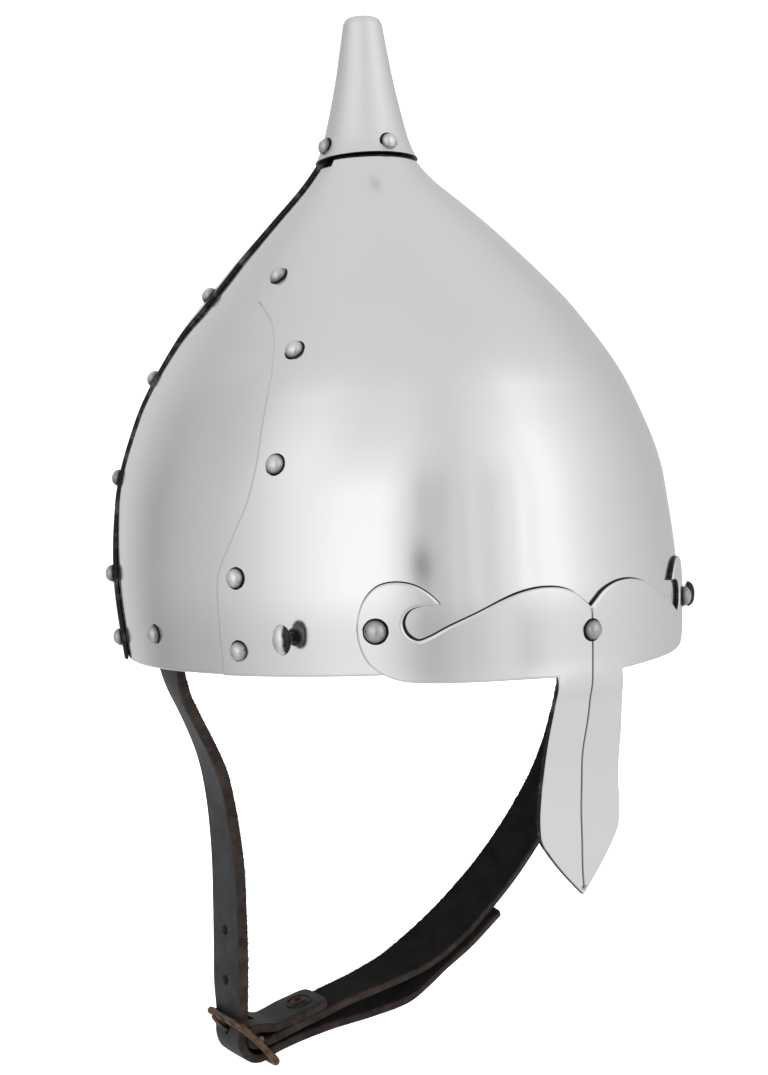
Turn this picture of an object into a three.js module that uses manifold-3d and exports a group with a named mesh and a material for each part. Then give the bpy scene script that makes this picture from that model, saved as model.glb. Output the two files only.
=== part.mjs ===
// A spangenhelm: four riveted steel plates, a brow plate with a nasal, a spike and a leather chin strap.
// Millimetres, +Z up. The origin is the middle of the rim, where the helmet sits on the head.
// The front looks along -Y, and the wearer's right side is on -X.

import * as THREE from 'three';
import { mergeVertices } from 'three/addons/utils/BufferGeometryUtils.js';
import { TessellateModifier } from 'three/addons/modifiers/TessellateModifier.js';
import Module from 'manifold-3d';

const wasm = await Module();
wasm.setup();

// Driving dimensions

const sheet = 1.6;              // thickness of every steel plate
const play = 0.5;               // gap between two plates that lie on each other
const step = sheet + play;      // one plate further out or in
const capSheet = 1.2;           // thickness of the spike's wall
const leather = 3.0;            // thickness of both straps
const strapWidth = 18;
const strapMiddle = 1;          // the straps' middle line lies this far behind the origin
const clearance = 0.3;          // between a fastening and what it sits on

const spikeBase = { height: 180.6, middle: 1.3, radius: 18.9, lean: 2.5 };
const spikeTop = { height: 51.6, radius: 7.2, rounding: 0.8 };
const spikeRivets = { turn: -4, above: 4.5 };

const rivetHead = { radius: 3.25, rise: 2.8 };
const shankRadius = 1.5;
const holeRadius = 2.2;
const rivetTail = { radius: 2.7, rise: 1.0 };
const studHead = { radius: 4.9, under: 4.6, rise: 8, neck: 2.1 };
const beyondHole = 4;           // a drill runs this far past what it goes through

const wireRadius = 1.3;         // the buckle's frame
const tongueRadius = 0.8;

// Facets of the round pieces
const rivetSides = 8;
const studSides = 10;
const spikeSides = 22;
const drillSides = 5;
const plateColumns = { cap: 14, side: 8 };

// The crown's level sections: half length front to back, half width, and how far the middle lies to the back
const crownSections = [
  { height: 0.0, halfLength: 112.0, halfWidth: 99.0, middle: 0.0 },
  { height: 26.5, halfLength: 114.8, halfWidth: 100.2, middle: 1.9 },
  { height: 56.6, halfLength: 114.3, halfWidth: 97.2, middle: 3.5 },
  { height: 88.5, halfLength: 106.0, halfWidth: 86.8, middle: 4.8 },
  { height: 116.8, halfLength: 89.2, halfWidth: 70.1, middle: 5.5 },
  { height: 141.5, halfLength: 65.0, halfWidth: 50.4, middle: 4.7 },
  { height: 159.2, halfLength: 42.5, halfWidth: 35.3, middle: 2.8 },
  { height: 172.0, halfLength: 26.3, halfWidth: 24.2, middle: 2.4 },
  { height: 178.6, halfLength: 18.8, halfWidth: 18.0, middle: 1.9 },
  { height: 180.0, halfLength: 17.0, halfWidth: 16.7, middle: 1.7 },
  { height: 184.5, halfLength: 15.9, halfWidth: 15.9, middle: 1.2 },
  { height: 188.0, halfLength: 15.2, halfWidth: 15.2, middle: 1.1 },
];
const plateRows = [0, 15, 30, 45, 58, 71, 88, 105, 116, 122.5, 128, 137.5, 150, 163, 172, 176, 178.6, 180, 184.5, 188];

// The front and back plates end in a wavy edge with one cusp, at this angle from the front or the back
const wavyEdge = [
  { height: 0, angle: 70.0 },
  { height: 30, angle: 69.3 },
  { height: 45, angle: 65.7 },
  { height: 58, angle: 62.4 },
  { height: 71, angle: 61.2 },
  { height: 95, angle: 61.0 },
  { height: 105, angle: 61.9 },
  { height: 116, angle: 65.2 },
  { height: 122.5, angle: 70.1 },
  { height: 128, angle: 75.2 },
  { height: 137.5, angle: 75.4 },
  { height: 149, angle: 73.5 },
  { height: 160, angle: 71.0 },
  { height: 188, angle: 70.0 },
];
const backEdgeBack = 2.5;        // the back plate's edges lie this many degrees further back
// The side plates run on under them to this angle
const hiddenEdge = [
  { height: 0, angle: 58.5 },
  { height: 30, angle: 58.5 },
  { height: 58, angle: 51.5 },
  { height: 105, angle: 49.5 },
  { height: 128, angle: 58.0 },
  { height: 160, angle: 58.0 },
  { height: 188, angle: 56.0 },
];
const edgeRivets = [
  { height: 8.2, angle: 65.5 },
  { height: 31.8, angle: 64.8 },
  { height: 67.5, angle: 57.1 },
  { height: 104.8, angle: 56.4 },
  { height: 133.2, angle: 69.3 },
];
const studs = { height: 12.9, angle: 53.3 };
const strapRivets = { height: 12, angle: 90 };

// The brow plate's outline from its middle to the wearer's left, along the crown and up
const browLobe = [
  { along: 0, height: 17.2 },
  { along: 3.3, height: 20.0 },
  { along: 5.9, height: 21.9 },
  { along: 11, height: 23.8 },
  { along: 18, height: 24.4 },
  { along: 24.5, height: 23.6 },
  { along: 31, height: 21.7 },
  { along: 40, height: 18.0 },
  { along: 49, height: 14.4 },
];
const browGullet = [
  { along: 55, height: 11.6 },
  { along: 58.8, height: 10.6 },
  { along: 62.1, height: 12.6 },
  { along: 63.2, height: 16.3 },
  { along: 61.5, height: 19.6 },
  { along: 57.4, height: 21.2 },
  { along: 51, height: 21.4 },
];
const browHead = [
  { along: 54.3, height: 24.8 },
  { along: 58.5, height: 27.5 },
  { along: 64.3, height: 28.8 },
  { along: 70.1, height: 27.8 },
  { along: 74.9, height: 23.5 },
  { along: 77.5, height: 16.9 },
  { along: 77.4, height: 10.5 },
  { along: 74.9, height: 4.3 },
  { along: 70, height: 0.3 },
  { along: 64.2, height: -1.9 },
  { along: 55, height: -2.9 },
];
const browFoot = [
  { along: 41, height: -3.4 },
  { along: 28, height: -3.7 },
  { along: 13.9, height: -4.2 },
];
const browEndRivet = { angle: 39.6, height: 14.2 };
const browMiddleRivet = { angle: 0, height: 9.8 };
const browCell = 15;            // longest edge of a facet
const browLevel = 12;           // the height at which the outline's lengths are true

// The brow plate leaves the crown between these heights below the rim and these distances from its middle
const nasalBlend = { from: 2.5, to: 12, near: 16, far: 26 };

// The nasal: half width, and where its outer face lies in front of the origin
const nasalSections = [
  { height: -2.5, halfWidth: 14.6, front: 113.6 },
  { height: -7, halfWidth: 13.5, front: 113.3 },
  { height: -14, halfWidth: 14.1, front: 111.6 },
  { height: -24, halfWidth: 15.2, front: 109.2 },
  { height: -34, halfWidth: 15.7, front: 106.8 },
  { height: -43, halfWidth: 16.3, front: 105.3 },
  { height: -51, halfWidth: 16.8, front: 104.5 },
  { height: -57.6, halfWidth: 16.0, front: 104.4 },
  { height: -62, halfWidth: 13.2, front: 104.7 },
  { height: -68.6, halfWidth: 8.0, front: 104.6 },
  { height: -77.2, halfWidth: 0.0, front: 103.5 },
];

// The straps' middle lines as worn and buckled: twist turns the front edge outwards
const billetPath = [
  { x: -93.9, z: 22, twist: 0 },
  { x: -93.4, z: 12, twist: 0 },
  { x: -92.6, z: 1, twist: 4 },
  { x: -90.2, z: -8.5, twist: 11 },
  { x: -86.9, z: -16, twist: 12 },
  { x: -83.6, z: -23.4, twist: 11 },
  { x: -80.7, z: -30.6, twist: 9 },
  { x: -78.4, z: -38, twist: 6 },
  { x: -76.6, z: -49, twist: 4 },
  { x: -75.6, z: -60, twist: 2 },
  { x: -75.2, z: -72, twist: 0 },
  { x: -75.6, z: -86, twist: -1 },
  { x: -76.2, z: -102, twist: -2 },
  { x: -77.0, z: -116, twist: -2 },
  { x: -77.3, z: -125.5, twist: -1 },
  { x: -78.0, z: -130.5, twist: 0 },
  { x: -78.0, z: -134, twist: 0 },
  { x: -76.7, z: -137.5, twist: 0 },
  { x: -73.9, z: -139.8, twist: 0 },
  { x: -70.5, z: -140.3, twist: 0 },
  { x: -65.5, z: -138.7, twist: 0 },
  { x: -55.7, z: -137.0, twist: 0 },
  { x: -40.6, z: -135.6, twist: 0 },
  { x: -25, z: -135.2, twist: 0 },
  { x: -8, z: -132.6, twist: 8 },
  { x: 0.4, z: -128.0, twist: 16 },
  { x: 9.0, z: -122.4, twist: 23 },
  { x: 20.9, z: -115.8, twist: 26 },
  { x: 32.5, z: -107.9, twist: 26 },
  { x: 41.8, z: -101.6, twist: 26 },
];
const billetHoles = { x: -76, radius: 1.9, heights: [-94.8, -112.4] };
const buckleStrapPath = [
  { x: 93.9, z: 22, twist: 0 },
  { x: 93.4, z: 12, twist: 0 },
  { x: 92.7, z: 0, twist: 2 },
  { x: 91.6, z: -12, twist: 9 },
  { x: 89.4, z: -25, twist: 16 },
  { x: 85.5, z: -38, twist: 21 },
  { x: 79.8, z: -51.3, twist: 24 },
  { x: 72.9, z: -62.8, twist: 24 },
  { x: 63.1, z: -75, twist: 24 },
  { x: 53.9, z: -84.6, twist: 24 },
  { x: 43.8, z: -94, twist: 25 },
  { x: 31.8, z: -103.3, twist: 26 },
  { x: 18.8, z: -112, twist: 26 },
  { x: 6.6, z: -118.4, twist: 23 },
  { x: -6.5, z: -123.2, twist: 11 },
  { x: -21.3, z: -126.4, twist: 3 },
  { x: -34.7, z: -128.6, twist: 0 },
  { x: -44.7, z: -130.7, twist: 0 },
  { x: -55, z: -132.6, twist: 0 },
  { x: -63, z: -134.3, twist: 0 },
  { x: -68, z: -135.2, twist: 0 },
];
const foldBack = [
  { x: -67.5, z: -130.2, width: 18 },
  { x: -63.5, z: -131.0, width: 18 },
  { x: -59, z: -130.3, width: 18 },
  { x: -55, z: -129.4, width: 18 },
  { x: -49.5, z: -128.4, width: 18 },
  { x: -44.5, z: -127.5, width: 17 },
  { x: -42, z: -127.0, width: 12 },
];
const foldRivet = { x: -49.6, radius: 3.4, rise: 0.9 };

// The buckle: a wire frame with a middle bar, in a level of its own that is tipped about Y
const buckle = { x: -73.5, z: -133.7, tilt: 49, halfLength: 11.2, halfWidth: 11.8, corner: 3.4, bow: 1.9 };
const middleBarRadius = 1.1;
const tongueRing = middleBarRadius + clearance + tongueRadius;
const tongueHook = [150, 105, 60, 15, -30, -75];    // angles round the middle bar
const tonguePath = [
  { along: -3.2, out: 1.1 },
  { along: -6.2, out: 1.9 },
  { along: -11, out: 2.5 },
  { along: -14.6, out: 2.2 },
];
const tongueHole = { along: -5.2, out: 1.7, radius: 1.7, length: 11 };
const tongueSlot = { width: 4.4, reach: 14, past: 3 };    // between the two ears of the fold

// Finishes

const steel = { color: 0xc9cbcd, metalness: 1.0, roughness: 0.3 };
const rivetSteel = { color: 0xa9aaab, metalness: 1.0, roughness: 0.38 };
const blackLeather = { color: 0x2b2624, metalness: 0.0, roughness: 0.6 };
const bronze = { color: 0x6d5240, metalness: 0.9, roughness: 0.45 };

// Curves and frames

const rad = THREE.MathUtils.degToRad;
const smooth = THREE.MathUtils.smoothstep;

// A smooth curve through the rows of a table that never swings past them
function smoothColumn(rows, column) {
  const at = rows.map((row) => row.height);
  const value = rows.map((row) => row[column]);
  const slope = value.slice(1).map((v, i) => (v - value[i]) / (at[i + 1] - at[i]));
  const tangent = value.map((v, i) => {
    if (i === 0) return slope[0];
    if (i === value.length - 1) return slope[i - 1];
    if (slope[i - 1] * slope[i] <= 0) return 0;
    return 2 / (1 / slope[i - 1] + 1 / slope[i]);
  });
  return (height) => {
    const inside = THREE.MathUtils.clamp(height, at[0], at[at.length - 1]);
    let i = 0;
    while (i < at.length - 2 && inside > at[i + 1]) i += 1;
    const span = at[i + 1] - at[i];
    const s = (inside - at[i]) / span;
    const rise = value[i + 1] - value[i];
    const bend = (tangent[i] * span - rise) * (1 - s) - (tangent[i + 1] * span - rise) * s;
    return value[i] + rise * s + s * (1 - s) * bend;
  };
}

function straightColumn(rows, column) {
  return (height) => {
    let i = 0;
    while (i < rows.length - 2 && height > rows[i + 1].height) i += 1;
    const s = (height - rows[i].height) / (rows[i + 1].height - rows[i].height);
    return THREE.MathUtils.lerp(rows[i][column], rows[i + 1][column], s);
  };
}

const halfLength = smoothColumn(crownSections, 'halfLength');
const halfWidth = smoothColumn(crownSections, 'halfWidth');
const middle = smoothColumn(crownSections, 'middle');

// A point of the front and back plates' outer face, at an angle from the front towards the wearer's left
function facePoint(angle, height) {
  const level = Math.max(height, 0);
  const turn = rad(angle);
  return new THREE.Vector3(
    halfWidth(level) * Math.sin(turn),
    middle(level) - halfLength(level) * Math.cos(turn),
    height,
  );
}

function faceNormal(angle, height) {
  const nudge = 0.25;
  const level = Math.max(height, nudge);
  const across = facePoint(angle + nudge, level).sub(facePoint(angle - nudge, level));
  const up = facePoint(angle, level + nudge).sub(facePoint(angle, level - nudge));
  return across.cross(up).normalize();
}

function crownPoint(angle, height, out) {
  return facePoint(angle, height).addScaledVector(faceNormal(angle, height), out);
}

// A placement whose +Z stands out of the crown
function crownSeat(angle, height, out) {
  const upright = new THREE.Vector3(0, 0, 1);
  const stand = new THREE.Quaternion().setFromUnitVectors(upright, faceNormal(angle, height));
  return new THREE.Matrix4().makeRotationFromQuaternion(stand).setPosition(crownPoint(angle, height, out));
}

// Closed bodies

function toSolid(geometry) {
  const bare = geometry.clone();
  bare.deleteAttribute('normal');
  bare.deleteAttribute('uv');
  const merged = mergeVertices(bare, 1e-4);
  const index = merged.index.array;
  const place = merged.attributes.position;
  const corner = (i) => new THREE.Vector3().fromBufferAttribute(place, i);
  const kept = [];
  let volume = 0;
  for (let i = 0; i < index.length; i += 3) {
    const [p, q, r] = [index[i], index[i + 1], index[i + 2]];
    if (p === q || q === r || r === p) continue;
    kept.push(p, q, r);
    volume += corner(p).dot(corner(q).cross(corner(r)));
  }
  if (volume < 0) {
    for (let i = 0; i < kept.length; i += 3) [kept[i], kept[i + 1]] = [kept[i + 1], kept[i]];
  }
  return new wasm.Manifold(new wasm.Mesh({
    numProp: 3,
    vertProperties: new Float32Array(place.array),
    triVerts: new Uint32Array(kept),
  }));
}

function toGeometry(solid) {
  const mesh = solid.getMesh();
  const geometry = new THREE.BufferGeometry();
  geometry.setAttribute('position', new THREE.BufferAttribute(mesh.vertProperties, 3));
  geometry.setIndex(new THREE.BufferAttribute(mesh.triVerts, 1));
  geometry.computeVertexNormals();
  return geometry;
}

// Two equal grids of points, one on each face of a sheet, closed round their four sides
function gridSheet(outer, inner) {
  const rows = outer.length;
  const columns = outer[0].length;
  const points = [...outer.flat(), ...inner.flat()];
  const faces = [];
  const quad = (a, b, c, d) => faces.push(a, b, c, a, c, d);
  const at = (row, column) => row * columns + column;
  const under = (row, column) => rows * columns + at(row, column);
  for (let row = 0; row < rows - 1; row += 1) {
    for (let column = 0; column < columns - 1; column += 1) {
      quad(at(row, column), at(row, column + 1), at(row + 1, column + 1), at(row + 1, column));
      quad(under(row, column), under(row + 1, column), under(row + 1, column + 1), under(row, column + 1));
    }
    quad(at(row, 0), at(row + 1, 0), under(row + 1, 0), under(row, 0));
    const last = columns - 1;
    quad(at(row + 1, last), at(row, last), under(row, last), under(row + 1, last));
  }
  for (let column = 0; column < columns - 1; column += 1) {
    quad(at(0, column + 1), at(0, column), under(0, column), under(0, column + 1));
    const top = rows - 1;
    quad(at(top, column), at(top, column + 1), under(top, column + 1), under(top, column));
  }
  const geometry = new THREE.BufferGeometry();
  geometry.setAttribute('position', new THREE.Float32BufferAttribute(points.flatMap((p) => p.toArray()), 3));
  geometry.setIndex(faces);
  return geometry;
}

// A turned piece about +Z from rows of radius and height, top to bottom
function turned(profile, sides) {
  const points = profile.map(([radius, height]) => new THREE.Vector2(radius, height)).reverse();
  return new THREE.LatheGeometry(points, sides).rotateX(Math.PI / 2);
}

function drill(seat, radius, depth) {
  const cutter = new THREE.CylinderGeometry(radius, radius, depth, drillSides).rotateX(Math.PI / 2);
  return toSolid(cutter.applyMatrix4(seat));
}

const helmet = new THREE.Group();

function addPiece(name, geometry, finish, placement = new THREE.Matrix4()) {
  const mesh = new THREE.Mesh(geometry, new THREE.MeshStandardMaterial(finish));
  mesh.name = name;
  placement.decompose(mesh.position, mesh.quaternion, mesh.scale);
  helmet.add(mesh);
}

// Rivets: a domed head outside, a shank through the stack and a hammered tail inside

const holes = [];               // one drilled hole for each fastening, which every plate it meets gets

function rivetProfile(grip) {
  const inside = -(grip + play + clearance);
  return [
    [0, rivetHead.rise + clearance],
    [rivetHead.radius * 0.62, rivetHead.rise * 0.74 + clearance],
    [rivetHead.radius, clearance],
    [shankRadius, clearance],
    [shankRadius, inside],
    [rivetTail.radius, inside],
    [0, inside - rivetTail.rise],
  ];
}

function addRivet(name, seat, grip) {
  addPiece(name, turned(rivetProfile(grip), rivetSides), rivetSteel, seat);
  holes.push(drill(seat, holeRadius, 2 * (grip + beyondHole)));
}

const sides = [
  { side: 'right', sign: -1 },
  { side: 'left', sign: 1 },
];

const twoPlates = sheet + step;
const plateAndStrap = step + leather + play;

for (const { side, sign } of sides) {
  edgeRivets.forEach(({ height, angle }, i) => {
    addRivet(`front_rivet_${side}_${i + 1}`, crownSeat(sign * angle, height, 0), twoPlates);
    addRivet(`back_rivet_${side}_${i + 1}`, crownSeat(180 - sign * angle, height, 0), twoPlates);
  });
  const strapSeat = crownSeat(sign * strapRivets.angle, strapRivets.height, -step);
  addRivet(`strap_rivet_${side}`, strapSeat, plateAndStrap);
  const browSeat = crownSeat(sign * browEndRivet.angle, browEndRivet.height, step);
  addRivet(`brow_rivet_${side}`, browSeat, twoPlates);
}
const browMiddleSeat = crownSeat(browMiddleRivet.angle, browMiddleRivet.height, step);
addRivet('brow_rivet_middle', browMiddleSeat, twoPlates);

// Studs: a button on a thin neck, low on each side of the front plate

for (const { side, sign } of sides) {
  const inside = -(sheet + 2 * clearance);
  const profile = [
    [0, studHead.rise],
    [studHead.radius * 0.7, studHead.rise - 0.5],
    [studHead.radius, studHead.rise - 1.7],
    [studHead.radius * 0.94, studHead.under + 0.7],
    [studHead.neck, studHead.under],
    [studHead.neck, clearance],
    [shankRadius, clearance],
    [shankRadius, inside],
    [rivetTail.radius, inside],
    [rivetTail.radius * 0.6, inside - rivetTail.rise],
    [0, inside - rivetTail.rise],
  ];
  const seat = crownSeat(sign * studs.angle, studs.height, 0);
  addPiece(`stud_${side}`, turned(profile, studSides), rivetSteel, seat);
  holes.push(drill(seat, holeRadius, 2 * studHead.rise));
}

// Spike: a hollow cone with a rounded closed top, riveted over the crown's neck

const spikePlace = new THREE.Matrix4()
  .makeRotationX(rad(spikeBase.lean))
  .setPosition(0, spikeBase.middle, spikeBase.height);
const taper = (spikeBase.radius - spikeTop.radius) / spikeTop.height;

function spikeSeat(angle) {
  const slant = Math.atan(taper);
  const radius = spikeBase.radius - taper * spikeRivets.above;
  return new THREE.Matrix4()
    .makeRotationZ(rad(angle))
    .multiply(new THREE.Matrix4().makeTranslation(0, -radius, spikeRivets.above))
    .multiply(new THREE.Matrix4().makeRotationX(Math.PI / 2 - slant));
}

const spikeProfile = [
  [0, spikeTop.height],
  [spikeTop.radius - spikeTop.rounding, spikeTop.height - 0.25],
  [spikeTop.radius - 0.25, spikeTop.height - spikeTop.rounding],
  [spikeTop.radius + taper * spikeTop.rounding * 2, spikeTop.height - spikeTop.rounding * 2],
  [spikeBase.radius, 0],
  [spikeBase.radius - capSheet, 0],
  [spikeTop.radius - capSheet, spikeTop.height - capSheet - spikeTop.rounding],
  [0, spikeTop.height - capSheet],
];
let spike = toSolid(turned(spikeProfile, spikeSides));
for (let i = 0; i < 4; i += 1) {
  const seat = spikeSeat(spikeRivets.turn + 90 * i);
  const overSidePlate = i % 2 === 1;
  const grip = capSheet + play + sheet + (overSidePlate ? step : 0);
  spike = spike.subtract(drill(seat, holeRadius, 2 * beyondHole));
  addRivet(`spike_rivet_${i + 1}`, spikePlace.clone().multiply(seat), grip);
}
addPiece('spike', toGeometry(spike), steel, spikePlace);

// Crown plates

function addPlate(name, fromAngle, toAngle, columns, out) {
  const grid = (depth) => plateRows.map((height) => {
    const row = [];
    for (let i = 0; i <= columns; i += 1) {
      const angle = THREE.MathUtils.lerp(fromAngle(height), toAngle(height), i / columns);
      row.push(crownPoint(angle, height, depth));
    }
    return row;
  });
  let plate = toSolid(gridSheet(grid(out), grid(out - sheet)));
  for (const hole of holes) plate = plate.subtract(hole);
  addPiece(name, toGeometry(plate), steel);
}

const wavy = straightColumn(wavyEdge, 'angle');
const hidden = straightColumn(hiddenEdge, 'angle');
const { cap, side: sideColumns } = plateColumns;
addPlate('front_plate', (height) => -wavy(height), wavy, cap, 0);
const backEdge = (height) => wavy(height) - backEdgeBack;
addPlate('back_plate', (height) => 180 - backEdge(height), (height) => 180 + backEdge(height), cap, 0);
addPlate('left_plate', hidden, (height) => 180 - hidden(height), sideColumns, -step);
addPlate('right_plate', (height) => hidden(height) - 180, (height) => -hidden(height), sideColumns, -step);

// Brow plate and nasal: one flat outline, bent round the crown and down in front of the nose

// The angle reached after walking a distance from the middle along the crown
function angleAlong(distance) {
  const pace = 0.5;
  const paceLength = (angle) => (
    crownPoint(angle, browLevel, step).distanceTo(crownPoint(angle + pace, browLevel, step))
  );
  let angle = 0;
  let left = Math.abs(distance);
  while (left > paceLength(angle)) {
    left -= paceLength(angle);
    angle += pace;
  }
  return Math.sign(distance) * (angle + pace * left / paceLength(angle));
}

const nasalFront = smoothColumn([...nasalSections].reverse(), 'front');

function bendBrow(along, height, depth) {
  const point = crownPoint(angleAlong(along), height, step - depth);
  const { from, to, near, far } = nasalBlend;
  const hanging = smooth(-height, from, to) * (1 - smooth(Math.abs(along), near, far));
  const onNasal = new THREE.Vector3(along, -nasalFront(height) + depth, height);
  return point.lerp(onNasal, hanging);
}

function browOutline() {
  const nasal = nasalSections.slice(1).map((row) => ({ along: row.halfWidth, height: row.height }));
  const left = [...browLobe, ...browGullet, ...browHead, ...browFoot, ...nasal];
  const right = left.slice(1, -1).map(({ along, height }) => ({ along: -along, height })).reverse();
  return new THREE.Shape([...left, ...right].map(({ along, height }) => new THREE.Vector2(along, height)));
}

const flatBrow = new THREE.ExtrudeGeometry(browOutline(), { depth: sheet, bevelEnabled: false });
const cellSplits = 12;
const fineBrow = new TessellateModifier(browCell, cellSplits).modify(flatBrow);
const browPlaces = fineBrow.attributes.position;
for (let i = 0; i < browPlaces.count; i += 1) {
  const bent = bendBrow(browPlaces.getX(i), browPlaces.getY(i), browPlaces.getZ(i));
  browPlaces.setXYZ(i, bent.x, bent.y, bent.z);
}
let brow = toSolid(fineBrow);
for (const hole of holes) brow = brow.subtract(hole);
addPiece('brow_nasal', toGeometry(brow), steel);

// Chin strap: each strap is a flat band swept along its middle line
// The hand is 1 where the outer side lies on the left of the way along, and -1 on the right

function sweepBand(path, hand) {
  const last = path.length - 1;
  const rings = path.map((row, i) => {
    const before = path[Math.max(i - 1, 0)];
    const after = path[Math.min(i + 1, last)];
    const along = new THREE.Vector3(after.x - before.x, 0, after.z - before.z).normalize();
    const outwards = new THREE.Vector3(-along.z * hand, 0, along.x * hand);
    const twist = rad(row.twist ?? 0);
    const across = new THREE.Vector3(0, Math.cos(twist), 0).addScaledVector(outwards, -Math.sin(twist));
    const thick = new THREE.Vector3().crossVectors(along, across);
    const place = new THREE.Vector3(row.x, strapMiddle, row.z);
    const side = across.multiplyScalar((row.width ?? strapWidth) / 2);
    const face = thick.multiplyScalar(leather / 2);
    const corner = (a, b) => place.clone().addScaledVector(side, a).addScaledVector(face, b);
    return [corner(-1, 1), corner(1, 1), corner(-1, -1), corner(1, -1)];
  });
  return gridSheet(rings.map((ring) => ring.slice(0, 2)), rings.map((ring) => ring.slice(2)));
}

const tilt = rad(buckle.tilt);
const buckleAlong = new THREE.Vector3(Math.cos(tilt), 0, -Math.sin(tilt));
const buckleOut = new THREE.Vector3(-Math.sin(tilt), 0, -Math.cos(tilt));
const buckleMiddle = new THREE.Vector3(buckle.x, strapMiddle, buckle.z);
const middleBar = buckleMiddle.clone().addScaledVector(buckleOut, -buckle.bow);

// The hole that the tongue goes through follows the tongue, and the others go straight through
let billet = toSolid(sweepBand(billetPath, -1));
for (const height of billetHoles.heights) {
  const through = new THREE.Matrix4()
    .makeRotationY(Math.PI / 2)
    .setPosition(billetHoles.x, strapMiddle, height);
  billet = billet.subtract(drill(through, billetHoles.radius, 2 * (leather + beyondHole)));
}
const tongueEntry = buckleMiddle.clone()
  .addScaledVector(buckleAlong, tongueHole.along)
  .addScaledVector(buckleOut, tongueHole.out);
const alongTongue = new THREE.Matrix4().makeRotationY(tilt + Math.PI / 2).setPosition(tongueEntry);
billet = billet.subtract(drill(alongTongue, tongueHole.radius, tongueHole.length));
for (const hole of holes) billet = billet.subtract(hole);
addPiece('billet_strap', toGeometry(billet), blackLeather);

const foldRadius = middleBarRadius + clearance + leather / 2;
const foldTurn = [];
const foldPace = 30;
for (let angle = 270; angle >= 90; angle -= foldPace) {
  foldTurn.push({
    x: middleBar.x + foldRadius * Math.cos(rad(angle)),
    z: middleBar.z + foldRadius * Math.sin(rad(angle)),
  });
}
let buckleStrap = toSolid(sweepBand([...buckleStrapPath, ...foldTurn, ...foldBack], 1));
const slot = new THREE.BoxGeometry(tongueSlot.reach, tongueSlot.width, tongueSlot.reach);
slot.translate(middleBar.x + tongueSlot.past - tongueSlot.reach / 2, strapMiddle, middleBar.z);
buckleStrap = buckleStrap.subtract(toSolid(slot));

// Fold rivet: low heads on both faces of the two layers of leather
const [beforeRivet, afterRivet] = [foldBack[2], foldBack[3]];
const foldSlope = Math.atan2(afterRivet.z - beforeRivet.z, afterRivet.x - beforeRivet.x);
const foldShare = (foldRivet.x - beforeRivet.x) / (afterRivet.x - beforeRivet.x);
const foldPlace = new THREE.Matrix4().makeRotationY(-foldSlope).setPosition(
  foldRivet.x,
  strapMiddle,
  THREE.MathUtils.lerp(beforeRivet.z, afterRivet.z, foldShare),
);
const foldTop = leather / 2 + clearance;
const foldUnder = -(leather * 1.5 + 3 * clearance);
const foldProfile = [
  [0, foldTop + foldRivet.rise],
  [foldRivet.radius * 0.7, foldTop + foldRivet.rise * 0.8],
  [foldRivet.radius, foldTop],
  [shankRadius, foldTop],
  [shankRadius, foldUnder],
  [foldRivet.radius, foldUnder],
  [foldRivet.radius * 0.7, foldUnder - foldRivet.rise],
  [0, foldUnder - foldRivet.rise],
];
addPiece('fold_rivet', turned(foldProfile, studSides), bronze, foldPlace);
buckleStrap = buckleStrap.subtract(drill(foldPlace, holeRadius, 2 * (2 * leather + beyondHole)));
for (const hole of holes) buckleStrap = buckleStrap.subtract(hole);
addPiece('buckle_strap', toGeometry(buckleStrap), blackLeather);

// Buckle frame: bent wire in a rounded oblong, with its long sides bowed inwards to carry the middle bar

const { halfLength: reach, halfWidth: spread, corner: round, bow } = buckle;
const sag = (along) => bow * (1 - (along / reach) ** 2);
const quarter = [
  [reach, 0],
  [reach, spread - round],
  [reach - round * 0.3, spread - round * 0.3],
  [reach - round, spread],
  [reach * 0.35, spread],
];
const mirrored = (rows, along, across) => rows.map(([a, b]) => [a * along, b * across]);
const loop = [
  ...quarter,
  ...mirrored(quarter, -1, 1).reverse(),
  ...mirrored(quarter, -1, -1).slice(1),
  ...mirrored(quarter, 1, -1).reverse().slice(0, -1),
];
const wireFacets = { along: 28, round: 6 };
const barSides = 8;
const wireLine = new THREE.CatmullRomCurve3(loop.map(([a, b]) => new THREE.Vector3(a, b, sag(a))), true);
const wire = new THREE.TubeGeometry(wireLine, wireFacets.along, wireRadius, wireFacets.round, true);
const bar = new THREE.CylinderGeometry(middleBarRadius, middleBarRadius, 2 * spread, barSides);
bar.translate(0, 0, bow);
const bucklePlace = new THREE.Matrix4().makeRotationY(tilt).setPosition(buckleMiddle);
addPiece('buckle_frame', toGeometry(toSolid(wire).add(toSolid(bar))), bronze, bucklePlace);

// Buckle tongue: a thinner wire hooked round the middle bar, with its tip on the frame's outer end

const hook = tongueHook.map((angle) => new THREE.Vector3(
  tongueRing * Math.cos(rad(angle)),
  0,
  bow + tongueRing * Math.sin(rad(angle)),
));
const tongueLine = new THREE.CatmullRomCurve3([
  ...hook,
  ...tonguePath.map(({ along, out }) => new THREE.Vector3(along, 0, -out)),
]);
const tongueSection = new THREE.Shape();
tongueSection.absarc(0, 0, tongueRadius, 0, 2 * Math.PI);
const tongueFacets = { steps: 12, curveSegments: 3 };
const tongue = new THREE.ExtrudeGeometry(tongueSection, { ...tongueFacets, extrudePath: tongueLine });
addPiece('buckle_tongue', toGeometry(toSolid(tongue)), bronze, bucklePlace);

export default helmet;
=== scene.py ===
import math

import bpy
import numpy as np
from mathutils import Matrix, Vector
from mathutils.geometry import delaunay_2d_cdt


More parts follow.
